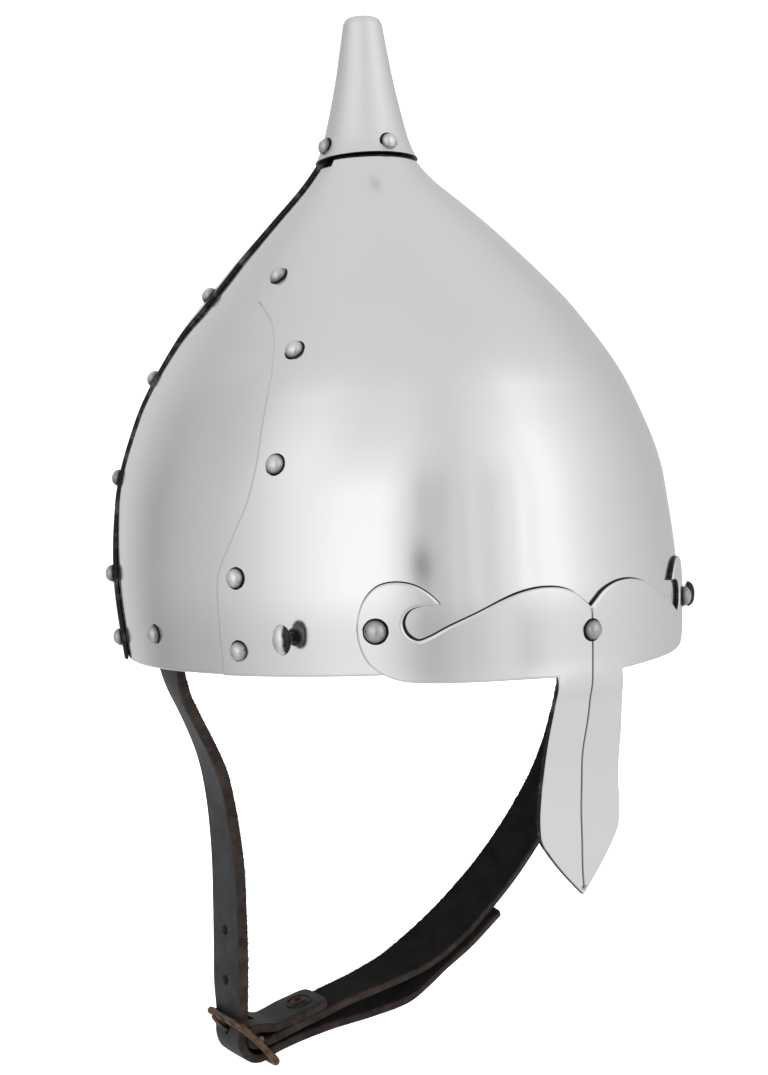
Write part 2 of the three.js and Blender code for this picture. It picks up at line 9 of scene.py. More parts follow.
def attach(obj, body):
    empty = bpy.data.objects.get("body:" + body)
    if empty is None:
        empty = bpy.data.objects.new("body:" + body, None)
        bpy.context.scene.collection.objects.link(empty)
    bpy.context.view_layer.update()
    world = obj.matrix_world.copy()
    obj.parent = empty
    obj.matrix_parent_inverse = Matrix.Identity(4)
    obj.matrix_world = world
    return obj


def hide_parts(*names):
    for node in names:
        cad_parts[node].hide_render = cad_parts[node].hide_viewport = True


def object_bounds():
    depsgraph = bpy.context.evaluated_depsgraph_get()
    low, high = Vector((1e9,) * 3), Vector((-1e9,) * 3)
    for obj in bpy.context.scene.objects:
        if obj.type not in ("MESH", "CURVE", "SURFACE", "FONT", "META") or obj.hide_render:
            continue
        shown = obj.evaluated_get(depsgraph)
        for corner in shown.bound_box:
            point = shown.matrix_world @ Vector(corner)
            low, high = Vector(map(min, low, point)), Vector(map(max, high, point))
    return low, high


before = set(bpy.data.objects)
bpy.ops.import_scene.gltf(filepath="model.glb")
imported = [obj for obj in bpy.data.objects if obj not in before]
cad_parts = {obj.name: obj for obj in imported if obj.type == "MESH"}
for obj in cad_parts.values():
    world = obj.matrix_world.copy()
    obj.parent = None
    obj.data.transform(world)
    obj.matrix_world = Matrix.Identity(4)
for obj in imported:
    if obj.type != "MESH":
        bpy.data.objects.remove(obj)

cad_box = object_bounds()

# Studio
# A plain white floor just under the hanging strap, and a light tent whose wall has bright and dark panels.
# The camera stands in front of the wearer's right cheek, a little above the rim, and is rolled slightly.

CAMERA_AZIMUTH = -33.156
CAMERA_ELEVATION = 1.895
CAMERA_ROLL = 3.143
CAMERA_DISTANCE = 0.59055
CAMERA_AIM = (-0.001608, 0.001051, 0.039355)
LENS_MM = 52.345
FLOOR_BELOW = 0.0006
FLOOR_WIDTH = 3.0
TOP_LAMP = {"height": 2.4, "width": 2.2, "watts": 30}
# direction from the front towards the wearer's left in degrees, brightness
TENT_LOW = [
    (-180, 0.50), (-168, 0.46), (-152, 0.355), (-136, 0.45), (-120, 0.51), (-103, 0.63), (-90, 0.75),
    (-78, 0.86), (-66, 0.96), (-50, 0.97), (-42, 0.76), (-35, 0.49), (-29, 0.55), (-26, 0.50),
    (-22, 0.66), (-18, 0.58), (-13, 0.72), (-8, 0.63), (-3, 0.66), (2, 0.78), (6, 0.76), (9.5, 1.0),
    (13, 0.85), (18, 0.96), (26, 0.94), (37, 0.80), (52, 0.68), (70, 0.59), (95, 0.49), (117, 0.42),
    (150, 0.40),
]
TENT_MIDDLE = [
    (-180, 0.48), (-168, 0.47), (-133, 0.49), (-114, 0.57), (-103, 0.72), (-86, 0.86), (-66, 0.75),
    (-46, 0.76), (-35, 0.68), (-22, 0.61), (-8, 0.71), (9, 0.83), (21, 0.95), (33, 0.87), (50, 0.74),
    (74, 0.62), (92, 0.55), (117, 0.50),
]
TENT_FOOT = [
    (-180, 0.46), (-168, 0.42), (-152, 0.31), (-136, 0.38), (-120, 0.42), (-103, 0.55), (-88, 0.61),
    (-72, 0.72), (-55, 0.78), (-44, 0.58), (-34, 0.40), (-29, 0.44), (-22, 0.54), (-13, 0.55), (-6, 0.66),
    (0, 0.70), (4, 0.60), (9, 0.54), (14, 0.62), (20, 0.69), (26, 0.68), (40, 0.66), (60, 0.62),
    (85, 0.54), (120, 0.44), (150, 0.42),
]
TENT_TOP = 0.62
TENT_FLOOR = 0.55
FLOOR_GLOW = 1.0
TENT_STRENGTH = 1.5
# elevations between which one band of the tent passes into the next
FLOOR_TO_FOOT = (-58, -26)
FOOT_TO_LOW = (-13, 0)
LOW_TO_MIDDLE = (6, 44)
WALL_TO_TOP = (30, 72)


def unit_towards(azimuth, elevation):
    turn, lift = math.radians(azimuth), math.radians(elevation)
    return Vector((math.sin(turn) * math.cos(lift), -math.cos(turn) * math.cos(lift), math.sin(lift)))


def aimed_frame(back):
    right = Vector((0, 0, 1)).cross(back).normalized()
    up = back.cross(right)
    return Matrix((right, up, back)).transposed()


def add_camera():
    back = unit_towards(CAMERA_AZIMUTH, CAMERA_ELEVATION)
    eye = bpy.data.objects.new("camera", bpy.data.cameras.new("camera"))
    eye.data.lens = LENS_MM
    eye.data.clip_start = 0.01
    turn = aimed_frame(back) @ Matrix.Rotation(-math.radians(CAMERA_ROLL), 3, "Z")
    eye.matrix_world = Matrix.Translation(Vector(CAMERA_AIM) + CAMERA_DISTANCE * back) @ turn.to_4x4()
    bpy.context.scene.collection.objects.link(eye)
    bpy.context.scene.camera = eye


def add_top_lamp():
    """Lights the floor and the leather, and doesn't mirror in the steel."""
    lamp = bpy.data.objects.new("top_lamp", bpy.data.lights.new("top_lamp", "AREA"))
    lamp.data.size = TOP_LAMP["width"]
    lamp.data.energy = TOP_LAMP["watts"]
    lamp.location = (0, 0, TOP_LAMP["height"])
    lamp.visible_glossy = False
    bpy.context.scene.collection.objects.link(lamp)


def set_inputs(tree, node, values):
    """Links each named input to another node's output, or sets it to a value."""
    for socket, value in values.items():
        if isinstance(value, bpy.types.NodeSocket):
            tree.links.new(value, node.inputs[socket])
        else:
            node.inputs[socket].default_value = value


def add_node(tree, kind, values=None, **settings):
    """Adds a node with its settings and inputs, and gives its outputs."""
    node = tree.nodes.new(kind)
    for setting, value in settings.items():
        setattr(node, setting, value)
    set_inputs(tree, node, values or {})
    return node.outputs


def maths(tree, operation, *values):
    return add_node(tree, "ShaderNodeMath", dict(enumerate(values)), operation=operation)["Value"]


def new_finish(name):
    """A new material, its tree and its main shader."""
    finish = bpy.data.materials.new(name)
    finish.use_nodes = True
    return finish, finish.node_tree, finish.node_tree.nodes["Principled BSDF"]


def plain_finish(name, values):
    finish, tree, shader = new_finish(name)
    set_inputs(tree, shader, values)
    return finish


def blend(tree, share, first, second):
    """Mixes two colours, each another node's output or red, green and blue."""
    pair = [c if isinstance(c, bpy.types.NodeSocket) else (*c, 1) for c in (first, second)]
    values = {"Factor": share, "A": pair[0], "B": pair[1]}
    return add_node(tree, "ShaderNodeMix", values, data_type="RGBA")["Result"]


def ramp_node(tree, source, stops):
    """A colour ramp from rows of position and colour."""
    ramp = tree.nodes.new("ShaderNodeValToRGB")
    elements = ramp.color_ramp.elements
    elements.remove(elements[1])
    for i, (position, colour) in enumerate(stops):
        stop = elements[0] if i == 0 else elements.new(position)
        stop.position = position
        stop.color = (*colour, 1)
    tree.links.new(source, ramp.inputs["Fac"])
    return ramp.outputs["Color"]


def panel_ramp(tree, turn, panels):
    closed = [*panels, (180, panels[0][1])]
    return ramp_node(tree, turn, [((azimuth + 180) / 360, [level] * 3) for azimuth, level in closed])


def ease_up(tree, source, elevations):
    """A smooth step of a direction's height between two elevations."""
    low, high = (math.sin(math.radians(elevation)) for elevation in elevations)
    values = {"Value": source, "From Min": low, "From Max": high}
    return add_node(tree, "ShaderNodeMapRange", values, interpolation_type="SMOOTHSTEP")["Result"]


def add_tent():
    """The white tent: its wall's brightness by direction, and plain white behind the helmet."""
    world = bpy.data.worlds.new("light_tent")
    world.use_nodes = True
    tree = world.node_tree
    place = add_node(tree, "ShaderNodeTexCoord")["Generated"]
    part = add_node(tree, "ShaderNodeSeparateXYZ", {"Vector": place})
    azimuth = maths(tree, "ARCTAN2", part["X"], maths(tree, "MULTIPLY", part["Y"], -1.0))
    whole_turn = {"Value": azimuth, "From Min": -math.pi, "From Max": math.pi}
    turn = add_node(tree, "ShaderNodeMapRange", whole_turn)["Result"]
    foot, low, middle = (panel_ramp(tree, turn, panels) for panels in (TENT_FOOT, TENT_LOW, TENT_MIDDLE))
    wall = blend(tree, ease_up(tree, part["Z"], LOW_TO_MIDDLE), low, middle)
    upper = blend(tree, ease_up(tree, part["Z"], WALL_TO_TOP), wall, [TENT_TOP] * 3)
    lower = blend(tree, ease_up(tree, part["Z"], FOOT_TO_LOW), foot, upper)
    tent = blend(tree, ease_up(tree, part["Z"], FLOOR_TO_FOOT), [TENT_FLOOR] * 3, lower)
    seen = blend(tree, add_node(tree, "ShaderNodeLightPath")["Is Camera Ray"], tent, (1, 1, 1))
    set_inputs(tree, tree.nodes["Background"], {"Color": seen, "Strength": TENT_STRENGTH})
    bpy.context.scene.world = world


def add_floor():
    """A white floor that glows and isn't mirrored in the steel."""
    half, level = FLOOR_WIDTH / 2, cad_box[0][2] - FLOOR_BELOW
    mesh = bpy.data.meshes.new("floor")
    corners = [(x * half, y * half, level) for x, y in ((-1, -1), (1, -1), (1, 1), (-1, 1))]
    mesh.from_pydata(corners, [], [(0, 1, 2, 3)])
    values = {"Base Color": (0.93, 0.93, 0.93, 1), "Roughness": 0.9}
    glow = {"Emission Color": (1, 1, 1, 1), "Emission Strength": FLOOR_GLOW}
    mesh.materials.append(plain_finish("pale_floor", {**values, **glow}))
    floor = bpy.data.objects.new("floor", mesh)
    floor.visible_glossy = False
    bpy.context.scene.collection.objects.link(floor)


add_camera()
add_top_lamp()
add_tent()
add_floor()
bpy.context.scene.view_settings.view_transform = "Standard"


# Crown plates
# Four plates of 1.6 mm mild steel, raised to a pointed oval dome and polished to a satin face.
# The front and back plates overlap the two side plates, and every raw edge keeps its dark scale.

MM = 0.001
SHEET = 1.6
STEP = 1.75
CHAMFER = 0.22
CROWN_TOP = 188.0
# distance in from a polished edge, how far the face has dropped there
EDGE_ROUND = [(0.0, 0.46), (0.26, 0.18), (0.7, 0.0)]
# the back plate's edges lie this much further back, and are hardly polished
BACK_EDGE_BACK = 2.5
BACK_EDGE_POLISH = 0.2
# columns of points over a plate's face and under the plate that covers it, and a wide plate's rough width
FACE_COLUMNS = 190
SIDE_COLUMNS = 96
UNDER_COLUMNS = 6
PLATE_WIDTH = 240
# painted dark reflections on the crown: angle, height, half width in degrees, half height, how dark
PAINTED_DARK_REFLECTIONS = [(-31.1, 33.5, 1.9, 6.5, 0.42), (-33.4, 24.5, 1.3, 3.0, 0.35)]
# angle past the outer plate's edge, how black the side plate is painted there: painted shadow and painted
# reflection of that edge
SEAM_PAINTED_SHADE = [(-0.3, 1.0), (0.0, 1.0), (0.12, 0.85), (0.22, 0.35), (0.4, 0.1), (0.7, 0.0)]
# height, half length, half width, how far the middle lies to the back
CROWN_SECTIONS = [
    (0.0, 112.0, 99.0, 0.0),
    (26.5, 114.8, 100.2, 1.9),
    (56.6, 114.3, 97.2, 3.5),
    (88.5, 106.0, 86.8, 4.8),
    (116.8, 89.2, 70.1, 5.5),
    (141.5, 65.0, 50.4, 4.7),
    (159.2, 42.5, 35.3, 2.8),
    (172.0, 26.3, 24.2, 2.4),
    (178.6, 19.8, 19.5, 1.9),
    (179.5, 19.1, 18.9, 1.8),
    (180.1, 18.3, 18.2, 1.7),
    (180.6, 16.9, 16.9, 1.6),
    (184.5, 15.9, 15.9, 1.2),
    (188.0, 15.2, 15.2, 1.1),
]
# height, angle from the front or the back
WAVY_EDGE = [
    (0, 70.0), (30, 69.3), (45, 65.7), (58, 62.4), (71, 61.2), (95, 61.0), (105, 61.9), (116, 65.2),
    (122.5, 70.1), (128, 75.2), (137.5, 75.4), (149, 73.5), (160, 71.0), (188, 70.0),
]
HIDDEN_EDGE = [(0, 58.5), (30, 58.5), (58, 51.5), (105, 49.5), (128, 58.0), (160, 58.0), (188, 56.0)]


def smooth_column(rows, column):
    """The curve through one column of a table, against its first column, that never swings past a row."""
    at = np.array([row[0] for row in rows], float)
    value = np.array([row[column] for row in rows], float)
    slope = np.diff(value) / np.diff(at)
    tangent = np.concatenate([slope[:1], np.zeros(len(slope) - 1), slope[-1:]])
    same = slope[:-1] * slope[1:] > 0
    total = np.where(same, slope[:-1] + slope[1:], 1)
    tangent[1:-1] = np.where(same, 2 * slope[:-1] * slope[1:] / total, 0)

    def curve(where):
        inside = np.clip(where, at[0], at[-1])
        i = np.clip(np.searchsorted(at, inside, side="right") - 1, 0, len(at) - 2)
        span = at[i + 1] - at[i]
        s = (inside - at[i]) / span
        rise = value[i + 1] - value[i]
        bend = (tangent[i] * span - rise) * (1 - s) - (tangent[i + 1] * span - rise) * s
        return value[i] + rise * s + s * (1 - s) * bend

    return curve


half_length = smooth_column(CROWN_SECTIONS, 1)
half_width = smooth_column(CROWN_SECTIONS, 2)
crown_middle = smooth_column(CROWN_SECTIONS, 3)


def face_point(angle, height):
    level = np.maximum(height, 0)
    turn = np.radians(angle)
    x = half_width(level) * np.sin(turn)
    y = crown_middle(level) - half_length(level) * np.cos(turn)
    return np.stack([x, y, height + 0 * x], -1)


def face_normal(angle, height):
    nudge = 0.25
    level = np.maximum(height, nudge)
    across = face_point(angle + nudge, level) - face_point(angle - nudge, level)
    up = face_point(angle, level + nudge) - face_point(angle, level - nudge)
    normal = np.cross(across, up)
    return normal / np.linalg.norm(normal, axis=-1, keepdims=True)


def crown_point(angle, height, out):
    return face_point(angle, height) + face_normal(angle, height) * np.asarray(out, float)[..., None]


def add_mesh(name, points, faces, finishes, finish_of_face=None, flat_uv=None, tags=None, sharp=32):
    """A closed piece in millimetres: points, faces, its finishes and, for each point, a flat map and tags."""
    mesh = bpy.data.meshes.new(name)
    mesh.from_pydata((np.asarray(points) * MM).tolist(), [], faces)
    for finish in finishes:
        mesh.materials.append(finish)
    if finish_of_face is not None:
        mesh.polygons.foreach_set("material_index", np.asarray(finish_of_face, np.int32))
    corner_point = np.empty(len(mesh.loops), np.int32)
    mesh.loops.foreach_get("vertex_index", corner_point)
    if flat_uv is not None:
        layer = mesh.uv_layers.new(name="flat")
        layer.data.foreach_set("uv", (np.asarray(flat_uv) * MM)[corner_point].astype(np.float32).ravel())
    for tag, values in (tags or {}).items():
        mesh.attributes.new(tag, "FLOAT", "POINT").data.foreach_set("value", np.asarray(values, np.float32))
    mesh.shade_smooth()
    mesh.set_sharp_from_angle(angle=math.radians(sharp))
    mesh.update()
    piece = bpy.data.objects.new(name, mesh)
    bpy.context.scene.collection.objects.link(piece)
    return piece


def place_piece(piece, slot, *nodes):
    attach(piece, "root")
    if nodes:
        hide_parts(*nodes)


def noise(tree, place, scale, detail, roughness):
    values = {"Vector": place, "Scale": scale, "Detail": detail, "Roughness": roughness}
    return add_node(tree, "ShaderNodeTexNoise", values)["Fac"]


def to_range(tree, source, low, high, start=0.0, end=1.0):
    values = {"Value": source, "From Min": start, "From Max": end, "To Min": low, "To Max": high}
    return add_node(tree, "ShaderNodeMapRange", values)["Result"]


def bumps(tree, height, strength, distance):
    values = {"Height": height, "Strength": strength, "Distance": distance}
    return add_node(tree, "ShaderNodeBump", values)["Normal"]


def darkened_by_residue_and_shade(tree, colour):
    """A colour turned black where the piece's points have the tag: polishing residue, and painted shade and
    painted reflection at the seams, at the feet of rivets and studs and in spots on the crown.
    """
    residue_and_painted_shade = add_node(tree, "ShaderNodeAttribute", attribute_name="residue_and_painted_shade")["Fac"]
    # near black: polishing residue together with painted shade and painted reflection
    return blend(tree, residue_and_painted_shade, colour, (0.012, 0.011, 0.011))


def steel_finish(name, tone, roughness, brush):
    """Polished sheet steel: fine brushing along the wall, cloudy wear in the polish and a faint waviness."""
    finish, tree, shader = new_finish(name)
    where = add_node(tree, "ShaderNodeTexCoord")
    stretched = add_node(tree, "ShaderNodeMapping", {"Vector": where["UV"], "Scale": brush})["Vector"]
    streaks = noise(tree, stretched, 1.0, 5.0, 0.65)
    clouds = noise(tree, where["Object"], 26.0, 4.0, 0.55)
    wear = maths(tree, "MULTIPLY", maths(tree, "ADD", streaks, clouds), 0.5)
    worn = blend(tree, wear, [c * 0.95 for c in tone], [min(c * 1.04, 1) for c in tone])
    set_inputs(tree, shader, {
        "Metallic": 1.0,
        "Base Color": darkened_by_residue_and_shade(tree, worn),
        "Roughness": to_range(tree, wear, roughness - 0.035, roughness + 0.045, 0.25, 0.75),
        "Normal": bumps(tree, streaks, 0.10, 0.00004),
    })
    return finish


def scale_edge_finish():
    """The dark scale and polish residue on the sheets' raw edges, worn to grey in places."""
    finish, tree, shader = new_finish("dark_sheet_edge")
    spots = noise(tree, add_node(tree, "ShaderNodeTexCoord")["Object"], 190.0, 4.0, 0.6)
    tone = ramp_node(tree, spots, [(0.50, (0.018, 0.017, 0.017)), (0.78, (0.16, 0.15, 0.14))])
    set_inputs(tree, shader, {"Metallic": 0.8, "Roughness": 0.42, "Base Color": tone})
    return finish


steel = steel_finish("satin_steel", (0.663, 0.657, 0.667), 0.14, (900, 45, 1))
inner_steel = steel_finish("inner_steel", (0.40, 0.40, 0.41), 0.40, (300, 120, 1))
dark_edge = scale_edge_finish()


def hammer_waves(angle, height):
    """What is left of the raising: long shallow waves under the polish, in millimetres."""
    low = 1 - np.clip((height - 20) / 110, 0, 1)
    broad = np.sin(np.radians(angle * 11) + 0.6)
    narrow = np.sin(np.radians(angle * 19) + 1.3 + height * 0.02)
    level = np.sin(height * 0.085 + 0.6) + 0.5 * np.sin(height * 0.15 + np.radians(angle * 5))
    return 0.05 * low * (broad + 0.6 * narrow) + 0.03 * level


def sheet_grid(outer, inner):
    """Points and faces of a closed sheet between two equal grids, and which are outer, inner or edge."""
    rows, columns = outer.shape[:2]
    index = np.arange(rows * columns).reshape(rows, columns)
    under = index + rows * columns

    def quads(a, b, c, d):
        return np.stack([a, b, c, d], -1).reshape(-1, 4)

    front = quads(index[:-1, :-1], index[:-1, 1:], index[1:, 1:], index[1:, :-1])
    back = quads(under[:-1, :-1], under[1:, :-1], under[1:, 1:], under[:-1, 1:])
    left = quads(index[:-1, 0], index[1:, 0], under[1:, 0], under[:-1, 0])
    right = quads(index[1:, -1], index[:-1, -1], under[:-1, -1], under[1:, -1])
    bottom = quads(index[0, 1:], index[0, :-1], under[0, :-1], under[0, 1:])
    top = quads(index[-1, :-1], index[-1, 1:], under[-1, 1:], under[-1, :-1])
    faces = np.concatenate([front, back, left, right, bottom, top])
    kinds = np.repeat([0, 1, 2, 2, 2, 2], [len(q) for q in (front, back, left, right, bottom, top)])
    points = np.concatenate([outer.reshape(-1, 3), inner.reshape(-1, 3)])
    return points, faces.tolist(), kinds


def plate_heights():
    inset = [depth for depth, _ in EDGE_ROUND]
    rows = np.linspace(1.2, CROWN_TOP - 1.2, 150)
    return np.concatenate([inset, rows, [CROWN_TOP - depth for depth in inset[::-1]]])[:, None]


def add_plate(name, angle, drop, residue_and_painted_shade, out):
    """A plate from its grid of angles, with how far its face drops and how black it is painted for each
    column: painted shade along its seams.
    """
    height = plate_heights() + 0 * angle
    edge_drop = np.interp(height, [row[0] for row in EDGE_ROUND], [row[1] for row in EDGE_ROUND])
    fall = np.maximum(edge_drop, drop[None, :])
    waves = hammer_waves(angle, height)
    outer = crown_point(angle, height, out + waves - fall)
    inner = crown_point(angle, height, out + waves - SHEET + np.minimum(fall, CHAMFER))
    points, faces, kinds = sheet_grid(outer, inner)
    flat = np.tile(np.stack([angle * 1.8, height], -1).reshape(-1, 2), (2, 1))
    painted_shade = residue_and_painted_shade[None, :] + 0 * angle
    # dark spots painted on the face as painted reflections
    for turn, level, wide, tall, strength in PAINTED_DARK_REFLECTIONS:
        dark_reflection = strength * np.exp(-(((angle - turn) / wide) ** 2) - ((height - level) / tall) ** 2)
        painted_shade = np.maximum(painted_shade, dark_reflection)
    painted_shade = np.concatenate([painted_shade.ravel(), np.zeros(angle.size)])
    finishes = [steel, inner_steel, dark_edge]
    plate = add_mesh(f"{name}_steel", points, faces, finishes, kinds, flat, {"residue_and_painted_shade": painted_shade})
    place_piece(plate, "polished_steel", name)


def add_cap_plate(name, middle, edge, polishing):
    """The front or the back plate, whose edges are rounded over by the polishing."""
    inset = np.array([row[0] for row in EDGE_ROUND]) / PLATE_WIDTH
    share = np.concatenate([inset, np.linspace(0.005, 0.995, FACE_COLUMNS), 1 - inset[::-1]])
    dropped = [row[1] * polishing for row in EDGE_ROUND]
    drop = np.concatenate([dropped, np.zeros(FACE_COLUMNS), dropped[::-1]])
    add_plate(name, middle + edge * (2 * share - 1), drop, 0 * share, 0)


def add_side_plate(name, sign):
    """A side plate, painted black on its face along the edges of the two plates that cover it and under them:
    painted shadow and painted reflection of their edges.
    """
    edge, start = wavy(plate_heights()), hidden(plate_heights())
    past = [row[0] for row in SEAM_PAINTED_SHADE]
    under = start + (edge + past[0] - 0.5 - start) * np.linspace(0, 1, UNDER_COLUMNS)
    seam = edge + past
    first = edge + past[-1] + 0.4
    back = 180 + BACK_EDGE_BACK
    open_face = first + (back - 2 * first) * np.linspace(0, 1, SIDE_COLUMNS)
    angle = np.concatenate([under, seam, open_face, back - seam[:, ::-1], back - under[:, ::-1]], 1)
    painted_shade = [row[1] for row in SEAM_PAINTED_SHADE]
    covered = np.ones(UNDER_COLUMNS)
    # painted shadow and painted reflection along each seam, and black under the covering plates
    residue_and_painted_shade = np.concatenate([covered, painted_shade, np.zeros(SIDE_COLUMNS), painted_shade[::-1], covered])
    angle = angle if sign > 0 else -angle[:, ::-1]
    add_plate(name, angle, 0 * residue_and_painted_shade, residue_and_painted_shade, -STEP)


wavy = smooth_column(WAVY_EDGE, 1)
hidden = smooth_column(HIDDEN_EDGE, 1)
add_cap_plate("front_plate", 0, wavy(plate_heights()), 1)
add_cap_plate("back_plate", 180, wavy(plate_heights()) - BACK_EDGE_BACK, BACK_EDGE_POLISH)
add_side_plate("left_plate", 1)
add_side_plate("right_plate", -1)


# Brow plate and nasal
# One sheet cut to two lobes that end in curled hooks, bent round the brow, with a leaf-shaped nasal below.
# A line is scored down its middle, from the cusp between the lobes to the nasal's point.

BROW_OUT = STEP
BROW_CUSP = (0, 17.2)
BROW_LOBE = [
    (3.3, 20.0), (5.9, 21.9), (11, 23.8), (18, 24.4), (24.5, 23.6), (31, 21.7), (40, 18.0), (49, 14.4),
]
BROW_GULLET = [(55, 11.6), (58.8, 10.6), (62.1, 12.6), (63.2, 16.3), (61.5, 19.6), (57.4, 21.2)]
BROW_HOOK = (51, 21.4)
BROW_HEAD = [
    (54.3, 24.8), (58.5, 27.5), (64.3, 28.8), (70.1, 27.8), (74.9, 23.5), (77.5, 16.9), (77.4, 10.5),
    (74.9, 4.3), (70, 0.3), (64.2, -1.9), (55, -2.9),
]
BROW_FOOT = [(41, -3.4), (28, -3.7), (13.7, -4.2)]
NASAL_ROOT = [(13.5, -5.6)]
NASAL_THICKER = 0.5
NASAL_SHARPER = 0.62
# height, half width, how far the outer face lies in front of the origin
NASAL_SECTIONS = [
    (-77.2, 0.0, 103.6), (-68.6, 8.0, 103.9), (-62, 13.2, 104.1), (-57.6, 16.0, 104.25), (-51, 16.8, 104.6),
    (-43, 16.3, 105.3), (-34, 15.7, 106.8), (-24, 15.2, 109.2), (-14, 14.1, 111.6), (-7, 13.5, 113.3),
    (-2.5, 14.6, 113.6),
]
BROW_LEVEL = 12.0
NASAL_RIDGE = math.tan(math.radians(2.2))
SCORE_HALF = 0.42
SCORE_DEEP = 0.32
SCORE_ENDS = (-74.5, 16.2)
DIP_ENDS = (-75, 16.4)
# spacing of the points along the outline, beside the score line and over the face
OUTLINE_SPACING = 0.7
SCORE_SPACING = 0.8
FACE_SPACING = 1.5
# how far in from the outline a ring of points keeps the face even, and the face's other points begin
GUARD_RING = 0.95
FACE_START = 1.6

nasal_front = smooth_column(NASAL_SECTIONS, 2)
walk_angle = np.linspace(0, 60, 241)
walk_points = crown_point(walk_angle, BROW_LEVEL + 0 * walk_angle, BROW_OUT + 0 * walk_angle)
walk_length = np.concatenate([[0], np.cumsum(np.linalg.norm(np.diff(walk_points, axis=0), axis=1))])


def ease(value, start, end):
    s = np.clip((value - start) / (end - start), 0, 1)
    return s * s * (3 - 2 * s)


def brow_angle(along):
    """The angle round the crown that lies so far along the brow plate from its middle."""
    return np.sign(along) * np.interp(np.abs(along), walk_length, walk_angle)


def brow_thickness(height):
    return SHEET + NASAL_THICKER * ease(-height, 3, 9)


def bend_brow(along, height, depth):
    """Bends the flat brow plate round the crown, and lets the nasal hang free below it."""
    on_crown = crown_point(brow_angle(along), height, BROW_OUT - depth)
    hanging = ease(-height, 2.5, 12) * (1 - ease(np.abs(along), 16, 26))
    front = nasal_front(height) - NASAL_RIDGE * np.abs(along)
    on_nasal = np.stack([along, depth - front, height], -1)
    return on_crown + (on_nasal - on_crown) * hanging[..., None]


def flow_through(points, spacing):
    """Points at an even spacing on the smooth curve through a few given ones."""
    given = np.array(points, float)
    padded = np.vstack([2 * given[0] - given[1], given, 2 * given[-1] - given[-2]])
    knots = np.concatenate([[0], np.cumsum(np.sqrt(np.linalg.norm(np.diff(padded, axis=0), axis=1)))])
    out = []
    for i in range(1, len(padded) - 2):
        k0, k1, k2, k3 = knots[i - 1:i + 3]
        p0, p1, p2, p3 = padded[i - 1:i + 3]
        for k in np.linspace(k1, k2, 24, endpoint=False):
            a1 = (p0 * (k1 - k) + p1 * (k - k0)) / (k1 - k0)
            a2 = (p1 * (k2 - k) + p2 * (k - k1)) / (k2 - k1)
            a3 = (p2 * (k3 - k) + p3 * (k - k2)) / (k3 - k2)
            b1 = (a1 * (k2 - k) + a2 * (k - k0)) / (k2 - k0)
            b2 = (a2 * (k3 - k) + a3 * (k - k1)) / (k3 - k1)
            out.append((b1 * (k2 - k) + b2 * (k - k1)) / (k2 - k1))
    out.append(given[-1])
    fine = np.array(out)
    length = np.concatenate([[0], np.cumsum(np.linalg.norm(np.diff(fine, axis=0), axis=1))])
    stops = np.linspace(0, length[-1], max(int(round(length[-1] / spacing)), 1) + 1)
    return np.stack([np.interp(stops, length, fine[:, j]) for j in range(fine.shape[1])], -1)


def brow_outline(spacing):
    nasal = [(width, height) for height, width, _ in reversed(NASAL_SECTIONS[:-2])]
    upper = flow_through([BROW_CUSP, *BROW_LOBE, *BROW_GULLET, BROW_HOOK], spacing)
    lower = flow_through([BROW_HOOK, *BROW_HEAD, *BROW_FOOT], spacing)
    hanging = flow_through([BROW_FOOT[-1], *NASAL_ROOT, *nasal], spacing)
    half = np.vstack([upper[:-1], lower[:-1], hanging])
    mirrored = half[1:-1][::-1] * (-1, 1)
    loop = np.vstack([half, mirrored])
    return loop[::-1]


def inset_loop(loop, distance):
    """A closed outline moved inwards by a distance, point for point."""
    before, after = np.roll(loop, 1, 0), np.roll(loop, -1, 0)
    first = (loop - before) / np.linalg.norm(loop - before, axis=1, keepdims=True)
    second = (after - loop) / np.linalg.norm(after - loop, axis=1, keepdims=True)
    inward = np.stack([-(first + second)[:, 1], (first + second)[:, 0]], -1)
    inward /= np.maximum(np.linalg.norm(inward, axis=1, keepdims=True), 1e-6)
    lean = np.maximum((np.stack([-first[:, 1], first[:, 0]], -1) * inward).sum(1, keepdims=True), 0.5)
    return loop + inward * distance / lean


def inside_loop(points, loop):
    x, y = points[:, 0][:, None], points[:, 1][:, None]
    x1, y1 = loop[:, 0], loop[:, 1]
    x2, y2 = np.roll(x1, -1), np.roll(y1, -1)
    crosses = ((y1 > y) != (y2 > y)) & (x < (x2 - x1) * (y - y1) / np.where(y2 == y1, 1e-9, y2 - y1) + x1)
    return crosses.sum(1) % 2 == 1


def score_line(height):
    drift = -0.95 * np.exp(-(((height + 32) / 12) ** 2))
    return drift + 0.22 * np.sin(height * 0.13) + 0.12 * np.sin(height * 0.31 + 1)


